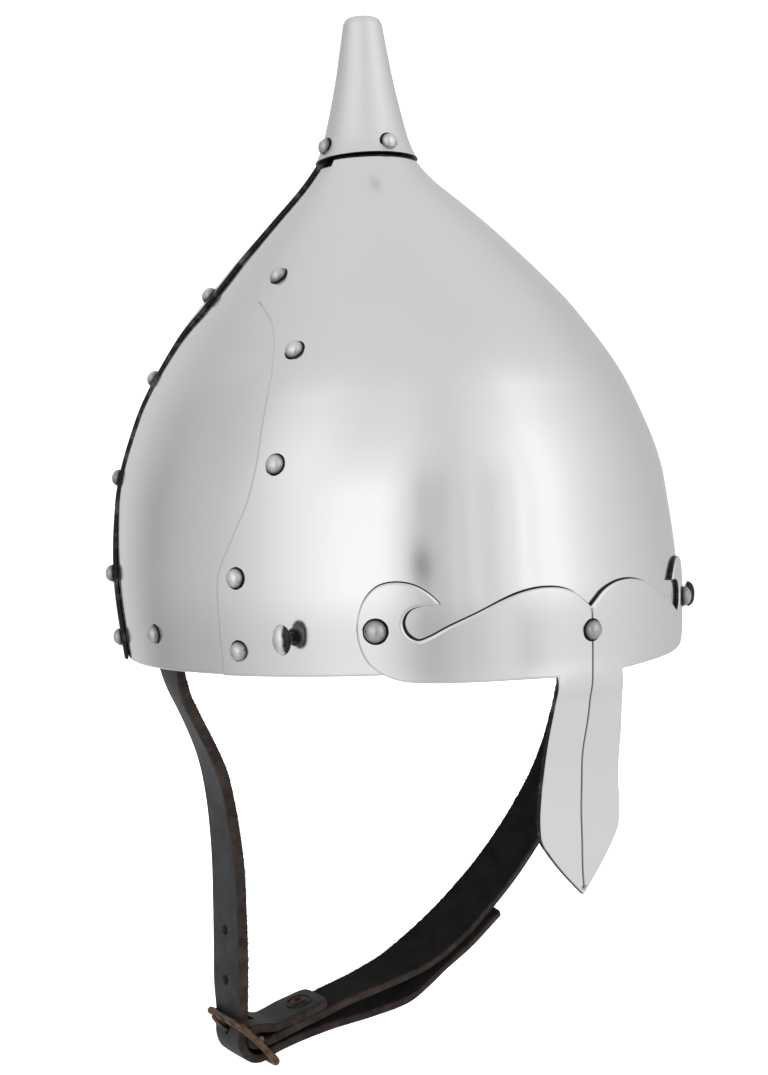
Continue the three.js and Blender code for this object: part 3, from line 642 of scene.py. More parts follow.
def add_brow():
    outline = brow_outline(OUTLINE_SPACING)
    hangs = ease(-outline[:, 1:], 3, 6)
    (_, edge_drop), (bevel_inset, bevel_drop), (rim_inset, _) = EDGE_ROUND
    sharpness = 1 - NASAL_SHARPER * hangs
    rim = inset_loop(outline, rim_inset * sharpness)
    bevel = inset_loop(outline, bevel_inset * sharpness)
    guard = inset_loop(outline, GUARD_RING)
    apart = np.linalg.norm(guard[:, None] - outline[None], axis=2).min(1)
    guard = guard[inside_loop(guard, rim) & (apart > 0.9)]
    safe = inset_loop(outline, FACE_START)
    xs, zs = np.meshgrid(np.arange(-78, 78.1, FACE_SPACING), np.arange(-77, 29.1, FACE_SPACING))
    xs[::2] += FACE_SPACING / 2
    cells = np.stack([xs.ravel(), zs.ravel()], -1)
    cells = cells[inside_loop(cells, safe) & (np.abs(cells[:, 0]) > 1.3)]
    across = (-1.0, -SCORE_HALF, 0, SCORE_HALF, 1.0)
    score = np.array([(score_line(z) + x, z) for z in np.arange(*SCORE_ENDS, SCORE_SPACING) for x in across])
    score = score[inside_loop(score, safe)]
    clear = np.abs(guard[:, 0] - score_line(guard[:, 1])) > 1.2
    flat = np.vstack([rim, guard[clear], cells, score])
    count = len(rim)
    edges = [(i, (i + 1) % count) for i in range(count)]
    found = delaunay_2d_cdt([Vector(p) for p in flat], edges, [], 1, 1e-5)
    flat = np.array([tuple(p) for p in found[0]])
    triangles = [tuple(face) for face in found[2]]
    rim_at = {source: i for i, sources in enumerate(found[3]) for source in sources if source < count}
    from_line = np.abs(flat[:, 0] - score_line(flat[:, 1]))
    on_score = (flat[:, 1] > DIP_ENDS[0]) & (flat[:, 1] < DIP_ENDS[1])
    dip = np.where(on_score, SCORE_DEEP * np.clip(1 - from_line / SCORE_HALF, 0, 1), 0)
    top = bend_brow(flat[:, 0], flat[:, 1], dip)
    bottom = bend_brow(flat[:, 0], flat[:, 1], brow_thickness(flat[:, 1]))
    middle = bend_brow(bevel[:, 0], bevel[:, 1], bevel_drop * sharpness[:, 0])
    high = bend_brow(outline[:, 0], outline[:, 1], edge_drop * sharpness[:, 0])
    low = bend_brow(outline[:, 0], outline[:, 1], brow_thickness(outline[:, 1]) - CHAMFER * sharpness[:, 0])
    points = np.vstack([top, bottom, middle, high, low])
    start_bottom, start_middle = len(flat), 2 * len(flat)
    start_high, start_low = start_middle + count, start_middle + 2 * count
    faces = list(triangles)
    kinds = [0] * len(faces)
    faces += [tuple(start_bottom + i for i in reversed(face)) for face in triangles]
    kinds += [1] * len(triangles)
    for i in range(count):
        j = (i + 1) % count
        ring = [(rim_at[i], rim_at[j])]
        ring += [(start + i, start + j) for start in (start_middle, start_high, start_low)]
        ring.append((start_bottom + rim_at[i], start_bottom + rim_at[j]))
        for step, kind in enumerate((0, 0, 2, 1)):
            (a, b), (c, d) = ring[step], ring[step + 1]
            faces.append((b, a, c, d))
            kinds.append(kind)
    scored = np.clip(dip / SCORE_DEEP, 0, 1)
    tags = {"residue_and_painted_shade": np.concatenate([scored, np.zeros(len(points) - len(flat))])}
    uv = np.vstack([flat, flat, bevel, outline, outline])
    brow = add_mesh("brow_nasal_steel", points, faces, [brow_steel, inner_steel, dark_edge], kinds, uv, tags)
    place_piece(brow, "polished_steel", "brow_nasal")


def add_brow_shadow_and_residue():
    """A black strip on the crown along the brow plate's edge: painted shadow in the corner between them, with
    polishing residue, widest where the edge faces up and inside the gullets.
    """
    outline = brow_outline(OUTLINE_SPACING)
    on_crown = outline[:, 1] > 0.6
    start = [i for i in range(len(outline)) if on_crown[i] and not on_crown[i - 1]][0]
    order = np.roll(np.arange(len(outline)), -start)[: on_crown.sum()]
    outer_side = (outline - inset_loop(outline, 1.0))[order]
    in_gullet = ease(np.abs(outline[order, 0]), 55, 59) * ease(-outline[order, 1], -24, -20)
    inner_side = np.clip(-outer_side[:, 0] * np.sign(outline[order, 0]), 0, 1)
    # the painted shadow is wider where the edge faces up and on the inner side of the gullets
    width = 0.14 + 0.42 * np.clip(outer_side[:, 1], 0, 1) + 1.0 * inner_side * in_gullet
    under = np.full_like(width, -0.5)
    rows = []
    for reach, out in ((width, 0.0), (width * 0.5, 0.09), (under, 0.1), (under, 0.0)):
        flat = outline[order] + outer_side * reach[:, None]
        rows.append(crown_point(brow_angle(flat[:, 0]), flat[:, 1], np.full(len(flat), out)))
    count = len(order)
    faces = []
    for k in range(4):
        a, b = k * count, (k + 1) % 4 * count
        faces += [(a + i, b + i, b + i + 1, a + i + 1) for i in range(count - 1)]
    faces += [(0, 3 * count, 2 * count, count), (count - 1, 2 * count - 1, 3 * count - 1, 4 * count - 1)]
    line = add_mesh("brow_residue", np.vstack(rows), faces, [shadow_and_residue_black])
    place_piece(line, "polished_steel")


brow_steel = steel_finish("brow_steel", (0.66, 0.66, 0.665), 0.2, (500, 60, 1))
add_brow()
# near-black plain finish for the strip: painted shadow with polishing residue
shadow_and_residue_values = {"Base Color": (0.010, 0.0095, 0.009, 1), "Roughness": 0.6, "Specular IOR Level": 0.3}
shadow_and_residue_black = plain_finish("shadow_and_residue_black", shadow_and_residue_values)
add_brow_shadow_and_residue()


# Spike
# A slightly waisted cone of thin steel, raised hollow with a rounded top, that covers the crown's neck.
# It leans forward a little, and its lip is filed level and keeps a dark line where it meets the plates.

SPIKE_BASE = {"height": 180.6, "middle": 1.3, "radius": 18.9, "lean": 2.5}
SPIKE_TOP = {"height": 53.2, "radius": 6.9}
# share of the top's radius, how far the dome has dropped there
SPIKE_DOME = [(0, 0), (0.3, 0.08), (0.55, 0.27), (0.75, 0.6), (0.88, 1.0), (0.96, 1.5), (0.995, 2.1)]
SPIKE_WALL = 1.2
SPIKE_SIDES = 96
SPIKE_LIP = 180.25
SPIKE_FLARE = 0.35
# share of the way down from the top, how much slimmer than a straight cone
SPIKE_WAIST = [
    (0, 0), (0.1, 0.4), (0.28, 0.95), (0.45, 1.4), (0.62, 1.5), (0.78, 1.4), (0.86, 1.15), (0.93, 0.6),
    (1, 0),
]
SPIKE_TAPER = (SPIKE_BASE["radius"] - SPIKE_TOP["radius"]) / SPIKE_TOP["height"]

spike_place = (
    Matrix.Translation((0, SPIKE_BASE["middle"], SPIKE_BASE["height"]))
    @ Matrix.Rotation(math.radians(SPIKE_BASE["lean"]), 4, "X")
)


def turned_piece(rows, sides, kinds=None):
    """Points, faces, ring tags and face kinds of a piece turned about +Z from rows of radius and height."""
    turn = np.arange(sides) * 2 * np.pi / sides
    points, rings = [], []
    for radius, height in rows:
        if radius < 1e-6:
            rings.append([len(points)])
            points.append((0, 0, height))
        else:
            rings.append(list(range(len(points), len(points) + sides)))
            points += [(radius * math.cos(t), radius * math.sin(t), height) for t in turn]
    faces, face_kinds = [], []
    for step, (upper, lower) in enumerate(zip(rings, rings[1:])):
        for i in range(sides):
            j = (i + 1) % sides
            if len(upper) == 1:
                faces.append((upper[0], lower[i], lower[j]))
            elif len(lower) == 1:
                faces.append((upper[i], lower[0], upper[j]))
            else:
                faces.append((upper[i], lower[i], lower[j], upper[j]))
            face_kinds.append(kinds[step] if kinds else 0)
    ring_of = np.concatenate([np.full(len(ring), i) for i, ring in enumerate(rings)])
    return np.array(points, float), faces, ring_of, face_kinds


def moved(points, matrix):
    placed = np.array(matrix)
    return points @ placed[:3, :3].T + placed[:3, 3]


spike_waist = smooth_column(SPIKE_WAIST, 1)


def add_spike():
    top, radius = SPIKE_TOP["height"], SPIKE_TOP["radius"]
    rows = [(radius * part, top - drop) for part, drop in SPIKE_DOME]
    shares = np.linspace(0.055, 0.985, 34)
    slim = SPIKE_TAPER * top * shares - spike_waist(shares)
    flare = SPIKE_FLARE * np.maximum(0, shares - 0.94) / 0.05
    rows += list(zip(radius + slim + flare, top * (1 - shares)))
    kinds = [0] * len(rows)
    lip = SPIKE_BASE["radius"] + SPIKE_FLARE
    rows += [(lip, 0.25), (lip - 0.25, 0), (lip - SPIKE_WALL, 0), (lip - SPIKE_WALL - 0.2, 0.3)]
    kinds += [2, 2, 1, 1]
    rows += list(zip(radius + slim[-3::-3] - SPIKE_WALL, top * (1 - shares[-3::-3])))
    rows += [(radius - SPIKE_WALL - 1, top - 3.5), (0, top - 3)]
    kinds += [1] * (len(rows) - len(kinds) - 1)
    points, faces, _, face_kinds = turned_piece(rows, SPIKE_SIDES, kinds)
    turn = np.degrees(np.arctan2(points[:, 1], points[:, 0]))
    uv = np.stack([turn * 0.22, points[:, 2]], -1)
    placed = moved(points, spike_place)
    filed = SPIKE_LIP - moved(points * (1, 1, 0), spike_place)[:, 2]
    placed[:, 2] += filed * (1 - ease(points[:, 2], 0, 7))
    finishes = [spike_steel, inner_steel, dark_edge]
    spike = add_mesh("spike_steel", placed, faces, finishes, face_kinds, uv, sharp=40)
    place_piece(spike, "polished_steel", "spike")


spike_steel = steel_finish("spike_steel", (0.645, 0.64, 0.65), 0.44, (700, 40, 1))
add_spike()


# Rivets
# Mild steel rivets with domed heads outside and hammered tails inside: twenty along the plates' edges,
# three through the brow plate, four round the spike and one for each strap. Each head is painted black
# towards its foot: polishing residue, and painted shade and painted reflection of the plate.

EDGE_RIVETS = [(8.2, 65.5), (31.8, 64.8), (67.5, 57.1), (104.8, 56.4), (133.2, 69.3)]
STRAP_RIVET = (12, 90)
BROW_END_RIVET = (14.2, 39.6)
BROW_MIDDLE_RIVET = (9.8, 0)
SPIKE_RIVETS = {"turn": -4, "above": 4.5, "in_waist": 0.75}
LEATHER = 3.0
RIVET_ROWS = [
    (0, 2.8), (0.8, 2.74), (1.55, 2.52), (2.2, 2.12), (2.7, 1.6), (3.05, 0.95), (3.2, 0.35), (3.22, 0.1),
    (3.3, 0.07), (3.62, 0.05), (3.78, -0.02), (3.78, -0.35), (0, -0.35),
]
RIVET_SIDES = 28
HAMMER_BLOWS = 9
BROW_END_SIZE = 1.12
SPIKE_RIVET_SIZE = 0.95
RIVET_CLEAN_ROWS = 6
TAIL_CLEAN_ROWS = 9
# rows past the clean ones, how black there: polishing residue, and painted shade and painted reflection of
# the plate
FOOT_SHADE_AND_RESIDUE = [(-4, 0), (-3, 0.1), (-2, 0.3), (-1, 0.6), (0, 0.88), (1, 1)]
TAIL_ROWS = [(0, 0.95), (1.2, 0.9), (2.1, 0.7), (2.7, 0.35), (2.85, 0.05), (2.85, -0.6), (0, -0.6)]


def seats_on_crown(placings, out):
    """Seat points and outward directions for rows of height and angle."""
    height = np.array([row[0] for row in placings], float)
    angle = np.array([row[1] for row in placings], float)
    return crown_point(angle, height, np.full_like(angle, out)), face_normal(angle, height)


def instance_tree():
    """Puts one copy of a piece on every seat, standing along the seat's direction and turned at random."""
    tree = bpy.data.node_groups.new("pieces_on_seats", "GeometryNodeTree")
    kinds = {"Seats": "Geometry", "Piece": "Object", "Finish": "Material", "Tilt": "Float", "Seed": "Int"}
    for name, kind in kinds.items():
        tree.interface.new_socket(name, in_out="INPUT", socket_type=f"NodeSocket{kind}")
    tree.interface.new_socket("Pieces", in_out="OUTPUT", socket_type="NodeSocketGeometry")
    given = add_node(tree, "NodeGroupInput")
    named = "GeometryNodeInputNamedAttribute"
    facing = add_node(tree, named, {"Name": "facing"}, data_type="FLOAT_VECTOR")["Attribute"]
    size = add_node(tree, named, {"Name": "size"}, data_type="FLOAT")["Attribute"]
    standing = add_node(tree, "FunctionNodeAlignRotationToVector", {"Vector": facing}, axis="Z")["Rotation"]
    most = {"X": given["Tilt"], "Y": given["Tilt"], "Z": math.pi}
    wide = add_node(tree, "ShaderNodeCombineXYZ", most)["Vector"]
    narrow = add_node(tree, "ShaderNodeVectorMath", {0: wide, "Scale": -1.0}, operation="SCALE")["Vector"]
    range_of_lean = {0: narrow, 1: wide, "Seed": given["Seed"]}
    lean = add_node(tree, "FunctionNodeRandomValue", range_of_lean, data_type="FLOAT_VECTOR")["Value"]
    turns = {"Rotation": standing, "Rotate By": lean}
    turned = add_node(tree, "FunctionNodeRotateRotation", turns, rotation_space="LOCAL")["Rotation"]
    piece = add_node(tree, "GeometryNodeObjectInfo", {"Object": given["Piece"]})["Geometry"]
    places = {"Points": given["Seats"], "Instance": piece, "Rotation": turned, "Scale": size}
    copies = add_node(tree, "GeometryNodeInstanceOnPoints", places)["Instances"]
    shades = add_node(tree, "FunctionNodeRandomValue", {"Seed": given["Seed"]}, data_type="FLOAT")
    shade = [output for output in shades if output.type == "VALUE" and output.enabled][0]
    tag = {"Geometry": copies, "Name": "shade", "Value": shade}
    store = "GeometryNodeStoreNamedAttribute"
    tagged = add_node(tree, store, tag, data_type="FLOAT", domain="INSTANCE")["Geometry"]
    solid = add_node(tree, "GeometryNodeRealizeInstances", {"Geometry": tagged})["Geometry"]
    coat = {"Geometry": solid, "Material": given["Finish"]}
    add_node(tree, "NodeGroupOutput", {"Pieces": add_node(tree, "GeometryNodeSetMaterial", coat)["Geometry"]})
    return tree


seat_tree = instance_tree()


def pieces_on_seats(name, shape, finish, seats, facings, sizes, tilt, seed):
    """One plain mesh of all the copies of a shape on their seats."""
    mesh = bpy.data.meshes.new(f"{name}_seats")
    mesh.from_pydata((np.asarray(seats) * MM).tolist(), [], [])
    directions = np.asarray(facings, np.float32).ravel()
    mesh.attributes.new("facing", "FLOAT_VECTOR", "POINT").data.foreach_set("vector", directions)
    mesh.attributes.new("size", "FLOAT", "POINT").data.foreach_set("value", np.asarray(sizes, np.float32))
    holder = bpy.data.objects.new(f"{name}_seats", mesh)
    bpy.context.scene.collection.objects.link(holder)
    copier = holder.modifiers.new("copies", "NODES")
    copier.node_group = seat_tree
    inputs = {item.name: item.identifier for item in seat_tree.interface.items_tree if item.in_out == "INPUT"}
    for given, value in (("Piece", shape), ("Finish", finish), ("Tilt", tilt), ("Seed", seed)):
        copier[inputs[given]] = value
    graph = bpy.context.evaluated_depsgraph_get()
    result = bpy.data.meshes.new_from_object(holder.evaluated_get(graph))
    holder.modifiers.remove(copier)
    bpy.data.objects.remove(holder)
    result.name = name
    piece = bpy.data.objects.new(name, result)
    bpy.context.scene.collection.objects.link(piece)
    return piece


def hammered(points, strength, seed):
    """A turned shape with the small flats that a hammer leaves."""
    knock = np.random.default_rng(seed)
    out = points.copy()
    for _ in range(HAMMER_BLOWS):
        turn, lift = knock.uniform(0, 2 * math.pi), knock.uniform(0.25, 1.2)
        facing = np.array([math.cos(turn) * math.cos(lift), math.sin(turn) * math.cos(lift), math.sin(lift)])
        reach = out @ facing
        limit = reach.max() - strength * knock.uniform(0.3, 1.0)
        over = np.clip(reach - limit, 0, None)
        out -= over[:, None] * facing * 0.85
    return out


def rivet_shape(name, rows, strength, seed, clean_rows):
    points, faces, ring_of, _ = turned_piece(rows, RIVET_SIDES)
    shaped = hammered(points, strength, seed)
    # black towards the foot: polishing residue, and painted shade and painted reflection of the plate
    residue_and_painted_shade = np.interp(ring_of - clean_rows, *zip(*FOOT_SHADE_AND_RESIDUE))
    return add_mesh(name, shaped, faces, [], tags={"residue_and_painted_shade": residue_and_painted_shade}, sharp=60)


def rivet_finish():
    """Duller hammered steel: small dents, a tone for each rivet, and black towards its foot that is polishing
    residue with painted shade and painted reflection of the plate.
    """
    finish, tree, shader = new_finish("rivet_steel")
    dents = noise(tree, add_node(tree, "ShaderNodeTexCoord")["Object"], 620.0, 4.0, 0.6)
    shade = add_node(tree, "ShaderNodeAttribute", attribute_name="shade")["Fac"]
    mottled = maths(tree, "MULTIPLY_ADD", dents, 0.5, shade)
    tone = blend(tree, mottled, (0.28, 0.275, 0.27), (0.63, 0.625, 0.62))
    set_inputs(tree, shader, {
        "Metallic": 1.0,
        "Base Color": darkened_by_residue_and_shade(tree, tone),
        "Roughness": to_range(tree, dents, 0.10, 0.30),
        "Normal": bumps(tree, dents, 0.5, 0.00012),
    })
    return finish


def add_rivets():
    seats, facings, grips, sizes, nodes = [], [], [], [], []

    def seat_row(placings, out, grip, names, size=1.0):
        points, normals = seats_on_crown(placings, out)
        seats.extend(points)
        facings.extend(normals)
        grips.extend([grip] * len(placings))
        sizes.extend([size] * len(placings))
        nodes.extend(names)

    for side, sign in (("right", -1), ("left", 1)):
        front = [(height, sign * angle) for height, angle in EDGE_RIVETS]
        back = [(height, 180 - sign * angle) for height, angle in EDGE_RIVETS]
        seat_row(front, 0, SHEET + STEP, [f"front_rivet_{side}_{i + 1}" for i in range(len(front))])
        seat_row(back, 0, SHEET + STEP, [f"back_rivet_{side}_{i + 1}" for i in range(len(back))])
        strap = [(STRAP_RIVET[0], sign * STRAP_RIVET[1])]
        seat_row(strap, -STEP, SHEET + LEATHER + 0.5, [f"strap_rivet_{side}"])
        end = [(BROW_END_RIVET[0], sign * BROW_END_RIVET[1])]
        seat_row(end, BROW_OUT, SHEET + STEP, [f"brow_rivet_{side}"], BROW_END_SIZE)
    seat_row([BROW_MIDDLE_RIVET], BROW_OUT, SHEET + STEP, ["brow_rivet_middle"])
    slant = math.atan(SPIKE_TAPER)
    radius = SPIKE_BASE["radius"] - SPIKE_TAPER * SPIKE_RIVETS["above"] - SPIKE_RIVETS["in_waist"]
    for i in range(4):
        seat = (
            spike_place
            @ Matrix.Rotation(math.radians(SPIKE_RIVETS["turn"] + 90 * i), 4, "Z")
            @ Matrix.Translation((0, -radius, SPIKE_RIVETS["above"]))
            @ Matrix.Rotation(math.pi / 2 - slant, 4, "X")
        )
        seats.append(np.array(seat.translation))
        facings.append(np.array(seat.col[2][:3]))
        grips.append(SPIKE_WALL + SHEET + (STEP + SHEET if i % 2 else 0.4))
        sizes.append(SPIKE_RIVET_SIZE)
        nodes.append(f"spike_rivet_{i + 1}")
    seats, facings, grips, sizes = (np.array(column, float) for column in (seats, facings, grips, sizes))
    head = rivet_shape("rivet_head", RIVET_ROWS, 0.16, 3, RIVET_CLEAN_ROWS)
    tail = rivet_shape("rivet_tail", TAIL_ROWS, 0.3, 8, TAIL_CLEAN_ROWS)
    finish = rivet_finish()
    heads = pieces_on_seats("rivet_heads", head, finish, seats, facings, sizes, 0.03, 5)
    inside = seats - facings * grips[:, None]
    tails = pieces_on_seats("rivet_tails", tail, finish, inside, -facings, sizes, 0.06, 11)
    for shape in (head, tail):
        bpy.data.objects.remove(shape)
    place_piece(heads, "rivet_steel", *nodes)
    place_piece(tails, "rivet_steel")
    return finish


rivet_steel = add_rivets()


# Studs
# A forged steel button on a thin neck, low on each side of the front plate, where a mail curtain hooks on.
# Its foot passes through the plate and is hammered flat inside.

STUD = (12.9, 53.3)
STUD_ROWS = [
    (0, 7.7), (1.4, 7.62), (2.8, 7.3), (3.9, 6.75), (4.6, 6.1), (4.9, 5.5), (4.8, 5.05), (4.2, 4.65),
    (3.2, 4.2), (2.4, 3.7), (1.9, 3.1), (1.7, 2.2), (1.75, 1.2), (2.0, 0.5), (2.9, 0.15), (3.1, -0.1),
    (3.1, -0.35), (0, -0.35),
]
STUD_SIDES = 40
# how black each row is: painted shade under the button and round its neck and foot, with patina
STUD_SHADE_AND_PATINA = [0, 0, 0, 0, 0, 0.1, 0.5, 0.9, 0.7, 0.75, 0.9, 1, 1, 1, 0.9, 0.6, 0, 0]
# the button is forged oval: above this height it is so much narrower, further out and leant to the back
STUD_HEAD = 3.6
STUD_NARROWER = 0.64
STUD_LONGER = 1.1
STUD_LEAN = 1.4
STUD_BEHIND = 1.4


def add_studs(finish):
    placings = [(STUD[0], sign * STUD[1]) for sign in (-1, 1)]
    seats, facings = seats_on_crown(placings, 0)
    points, faces, ring_of, _ = turned_piece(STUD_ROWS, STUD_SIDES)
    head = points[:, 2] > STUD_HEAD
    points[head] = hammered(points[head] - (0, 0, STUD_HEAD), 0.3, 21) + (0, 0, STUD_HEAD)
    across = points[:, 0] * (1 - (1 - STUD_NARROWER) * ease(points[:, 2], 1.6, STUD_HEAD))
    rise = points[:, 2] + STUD_LONGER * ease(points[:, 2], 0.5, STUD_HEAD)
    lean = STUD_BEHIND + STUD_LEAN * ease(points[:, 2], 0.5, STUD_HEAD + 1)
    knobs, knob_faces, shade_patina_and_reflection = [], [], []
    for side, (sign, seat, facing) in enumerate(zip((-1, 1), seats, facings)):
        level = np.cross((0, 0, 1), facing)
        level /= np.linalg.norm(level)
        upright = np.cross(facing, level)
        aside = (across + sign * lean)[:, None]
        knobs.append(seat + aside * level + points[:, 1:2] * upright + rise[:, None] * facing)
        knob_faces += [tuple(i + side * len(points) for i in face) for face in faces]
        # the button's side towards the front is painted black: a painted dark reflection of the plate
        painted_reflection_side = ease(-sign * across, 0.7, 1.5) * ease(points[:, 2], STUD_HEAD, STUD_HEAD + 1)
        shade_patina_and_reflection.append(np.maximum(np.array(STUD_SHADE_AND_PATINA)[ring_of], 0.97 * painted_reflection_side))
    tags = {"residue_and_painted_shade": np.concatenate(shade_patina_and_reflection), "shade": np.full(2 * len(points), 0.9)}
    studs = add_mesh("studs", np.vstack(knobs), knob_faces, [finish], tags=tags, sharp=50)
    tail = rivet_shape("stud_tail_shape", TAIL_ROWS, 0.3, 17, TAIL_CLEAN_ROWS)
    tails = pieces_on_seats("stud_tails", tail, finish, seats - facings * SHEET, -facings, [1, 1], 0.05, 6)
    bpy.data.objects.remove(tail)
    place_piece(studs, "rivet_steel", "stud_right", "stud_left")
    place_piece(tails, "rivet_steel")


add_studs(rivet_steel)


# Chin straps
# Two bands of 3 mm black bridle leather, 18 mm wide, grain side out, with raw brown edges and a suede back.
# One is pierced and threads the buckle. The other folds round its middle bar and is riveted to itself.

STRAP_WIDTH = 18.0
STRAP_MIDDLE = 1.0
# x, z, twist, width
BILLET = [
    (-93.9, 22, 0, 18), (-93.4, 12, 0, 18), (-92.7, 1, 4, 18), (-90.4, -8.5, 11, 18),
    (-87.1, -16, 12, 18), (-83.8, -23.4, 11, 18), (-80.9, -30.6, 9, 18), (-78.6, -38, 6, 18),
    (-76.8, -49, 4, 18), (-75.8, -60, 2, 18.3), (-75.3, -72, 0, 18.6), (-75.6, -86, -1, 18.8),
    (-76.2, -102, -2, 18.8), (-77.0, -116, -2, 18.6), (-77.3, -125.5, -1, 18.2), (-78.0, -130.5, 0, 18),
    (-78.0, -134, 0, 18), (-76.7, -137.5, 0, 18), (-73.9, -139.8, 0, 18), (-70.5, -140.3, 0, 18),
    (-65.5, -138.7, 0, 18), (-55.7, -137.0, 0, 18), (-40.6, -135.6, 0, 18), (-25, -135.2, 0, 18),
    (-8, -132.6, 8, 18), (0.4, -128.0, 16, 18), (9.0, -122.4, 23, 18), (20.9, -116.2, 26, 18),
    (29.5, -110.8, 26, 18), (35.6, -106.9, 27, 17.8),
]
BUCKLE_STRAP = [
    (93.9, 22, 0, 18), (93.4, 12, 0, 18), (92.7, 0, 2, 18), (91.6, -12, 9, 18), (89.4, -25, 16, 18),
    (85.5, -38, 21, 18), (79.8, -51.3, 24, 18), (72.9, -62.8, 24, 18), (63.1, -75, 24, 18),
    (53.9, -84.6, 24, 18), (43.8, -94, 25, 18), (31.8, -103.3, 26, 18), (18.8, -112, 26, 18),
    (6.6, -118.4, 23, 18), (-6.5, -123.2, 11, 18), (-21.3, -126.4, 3, 18), (-34.7, -128.6, 0, 18),
    (-44.7, -130.7, 0, 18), (-55, -132.6, 0, 18), (-63, -134.3, 0, 18), (-68, -135.2, 0, 18),
]
FOLD_BACK = [
    (-67.5, -130.2, 0, 17), (-63.5, -131.0, 0, 17), (-59, -130.3, 0, 17.4), (-55, -129.4, 0, 18),
    (-49.5, -128.4, 0, 18), (-44.5, -127.5, 0, 17.6), (-43.1, -127.25, 0, 16.6), (-42.2, -127.1, 0, 14.6),
    (-41.8, -127.0, 0, 11),
]
FIBRES = 2600
FIBRE_REACH = 0.8
FIBRE_THICK = 0.09
# how far the knife wanders along the flesh side and the grain side
RAGGED_FLESH = 0.11
RAGGED_GRAIN = 0.025
HOLE_X = -76
HOLE_HEIGHTS = (-94.8, -112.4)
HOLE_RADIUS = 1.9
# where the tongue passes the billet: before and out from the buckle's middle
TONGUE_HOLE = {"before": 5.2, "out": 1.7, "radius": 1.7, "depth": 11}
# the slot for it in the fold reaches this far past the middle bar
TONGUE_SLOT = {"past": 3, "reach": 14.0, "wide": 4.4}
BUCKLE = {
    "x": -73.5, "z": -133.7, "tilt": 49, "half_length": 11.2, "half_width": 11.8, "corner": 3.4, "bow": 1.9,
}
MIDDLE_BAR = 1.1
WIRE = 1.3
TONGUE = 0.8
GAP = 0.3

tilt = math.radians(BUCKLE["tilt"])
buckle_along = np.array([math.cos(tilt), 0, -math.sin(tilt)])
buckle_out = np.array([-math.sin(tilt), 0, -math.cos(tilt)])
buckle_centre = np.array([BUCKLE["x"], STRAP_MIDDLE, BUCKLE["z"]])
middle_bar = buckle_centre - BUCKLE["bow"] * buckle_out


def band_section():
    """A band's section: grain face, rounded edges and suede face, as rows of across, thick and zone."""
    corner = 0.55
    across = STRAP_WIDTH / 2
    thick = LEATHER / 2
    grain = [(a, thick, 0) for a in np.linspace(-(across - corner), across - corner, 13)]
    bends = [(corner * (1 - math.sin(t)), corner * (1 - math.cos(t))) for t in np.radians((30, 60, 90))]
    round_out = [(across - a, thick - b, 1) for a, b in bends]
    round_in = [(across - a, b - thick, 1) for a, b in bends[::-1]]
    right = round_out + [(across, 0.35, 1), (across, -0.35, 1)] + round_in
    suede = [(-a, -b, 2) for a, b, _ in grain]
    left = [(-a, -b, 1) for a, b, _ in right]
    return grain + right + suede + left


def band_mesh(path, hand, seed):
    """A band swept along its middle line; hand is 1 where its outer side lies left of the way along."""
    fine = flow_through(path, 0.6)
    place = np.stack([fine[:, 0], np.full(len(fine), STRAP_MIDDLE), fine[:, 1]], -1)
    along = np.gradient(place, axis=0)
    along /= np.linalg.norm(along, axis=1, keepdims=True)
    outwards = np.stack([-along[:, 2] * hand, 0 * along[:, 0], along[:, 0] * hand], -1)
    turn = np.radians(fine[:, 2])[:, None]
    across = np.array([0, 1, 0]) * np.cos(turn) - outwards * np.sin(turn)
    thick = np.cross(along, across) * hand
    section = band_section()
    rough = np.random.default_rng(seed)
    rings, uvs = [], []
    walked = np.concatenate([[0], np.cumsum(np.linalg.norm(np.diff(place, axis=0), axis=1))])
    ragged, ragged_far = rough.normal(0, 1, (2, len(fine)))
    fuller = 1 + 0.28 * ease(fine[:, 1], -128, -112) * ease(-fine[:, 1], 0, 9)
    girth = np.concatenate([[0], np.cumsum([math.dist(p[:2], q[:2]) for p, q in zip(section, section[1:])])])
    for i in range(len(fine)):
        scale = fine[i, 3] / STRAP_WIDTH
        ring = []
        for k, (a, b, zone) in enumerate(section):
            shift = 0.0
            if zone == 1 or abs(a) > STRAP_WIDTH / 2 - 1:
                shift = (ragged[i] if a > 0 else ragged_far[i]) * (RAGGED_FLESH if b < 0 else RAGGED_GRAIN)
            cup = 0.22 * (a / (STRAP_WIDTH / 2)) ** 2
            aside = a * scale + math.copysign(shift, a)
            ring.append(place[i] + across[i] * aside + thick[i] * (b * fuller[i] - cup * 0.6))
            uvs.append((walked[i], girth[k]))
        rings.append(ring)
    count = len(section)
    points = [point for ring in rings for point in ring]
    faces, kinds = [], []
    for i in range(len(rings) - 1):
        for k in range(count):
            n = (k + 1) % count
            a, b, c, d = i * count + k, i * count + n, (i + 1) * count + n, (i + 1) * count + k
            faces.append((a, b, c, d) if hand > 0 else (d, c, b, a))
            kinds.append(1 if 1 in (section[k][2], section[n][2]) else section[k][2])
    first = list(range(count))
    last = [(len(rings) - 1) * count + k for k in range(count)]
    faces += [first[::-1], last] if hand > 0 else [first, last[::-1]]
    kinds += [1, 1]
    return points, faces, kinds, uvs


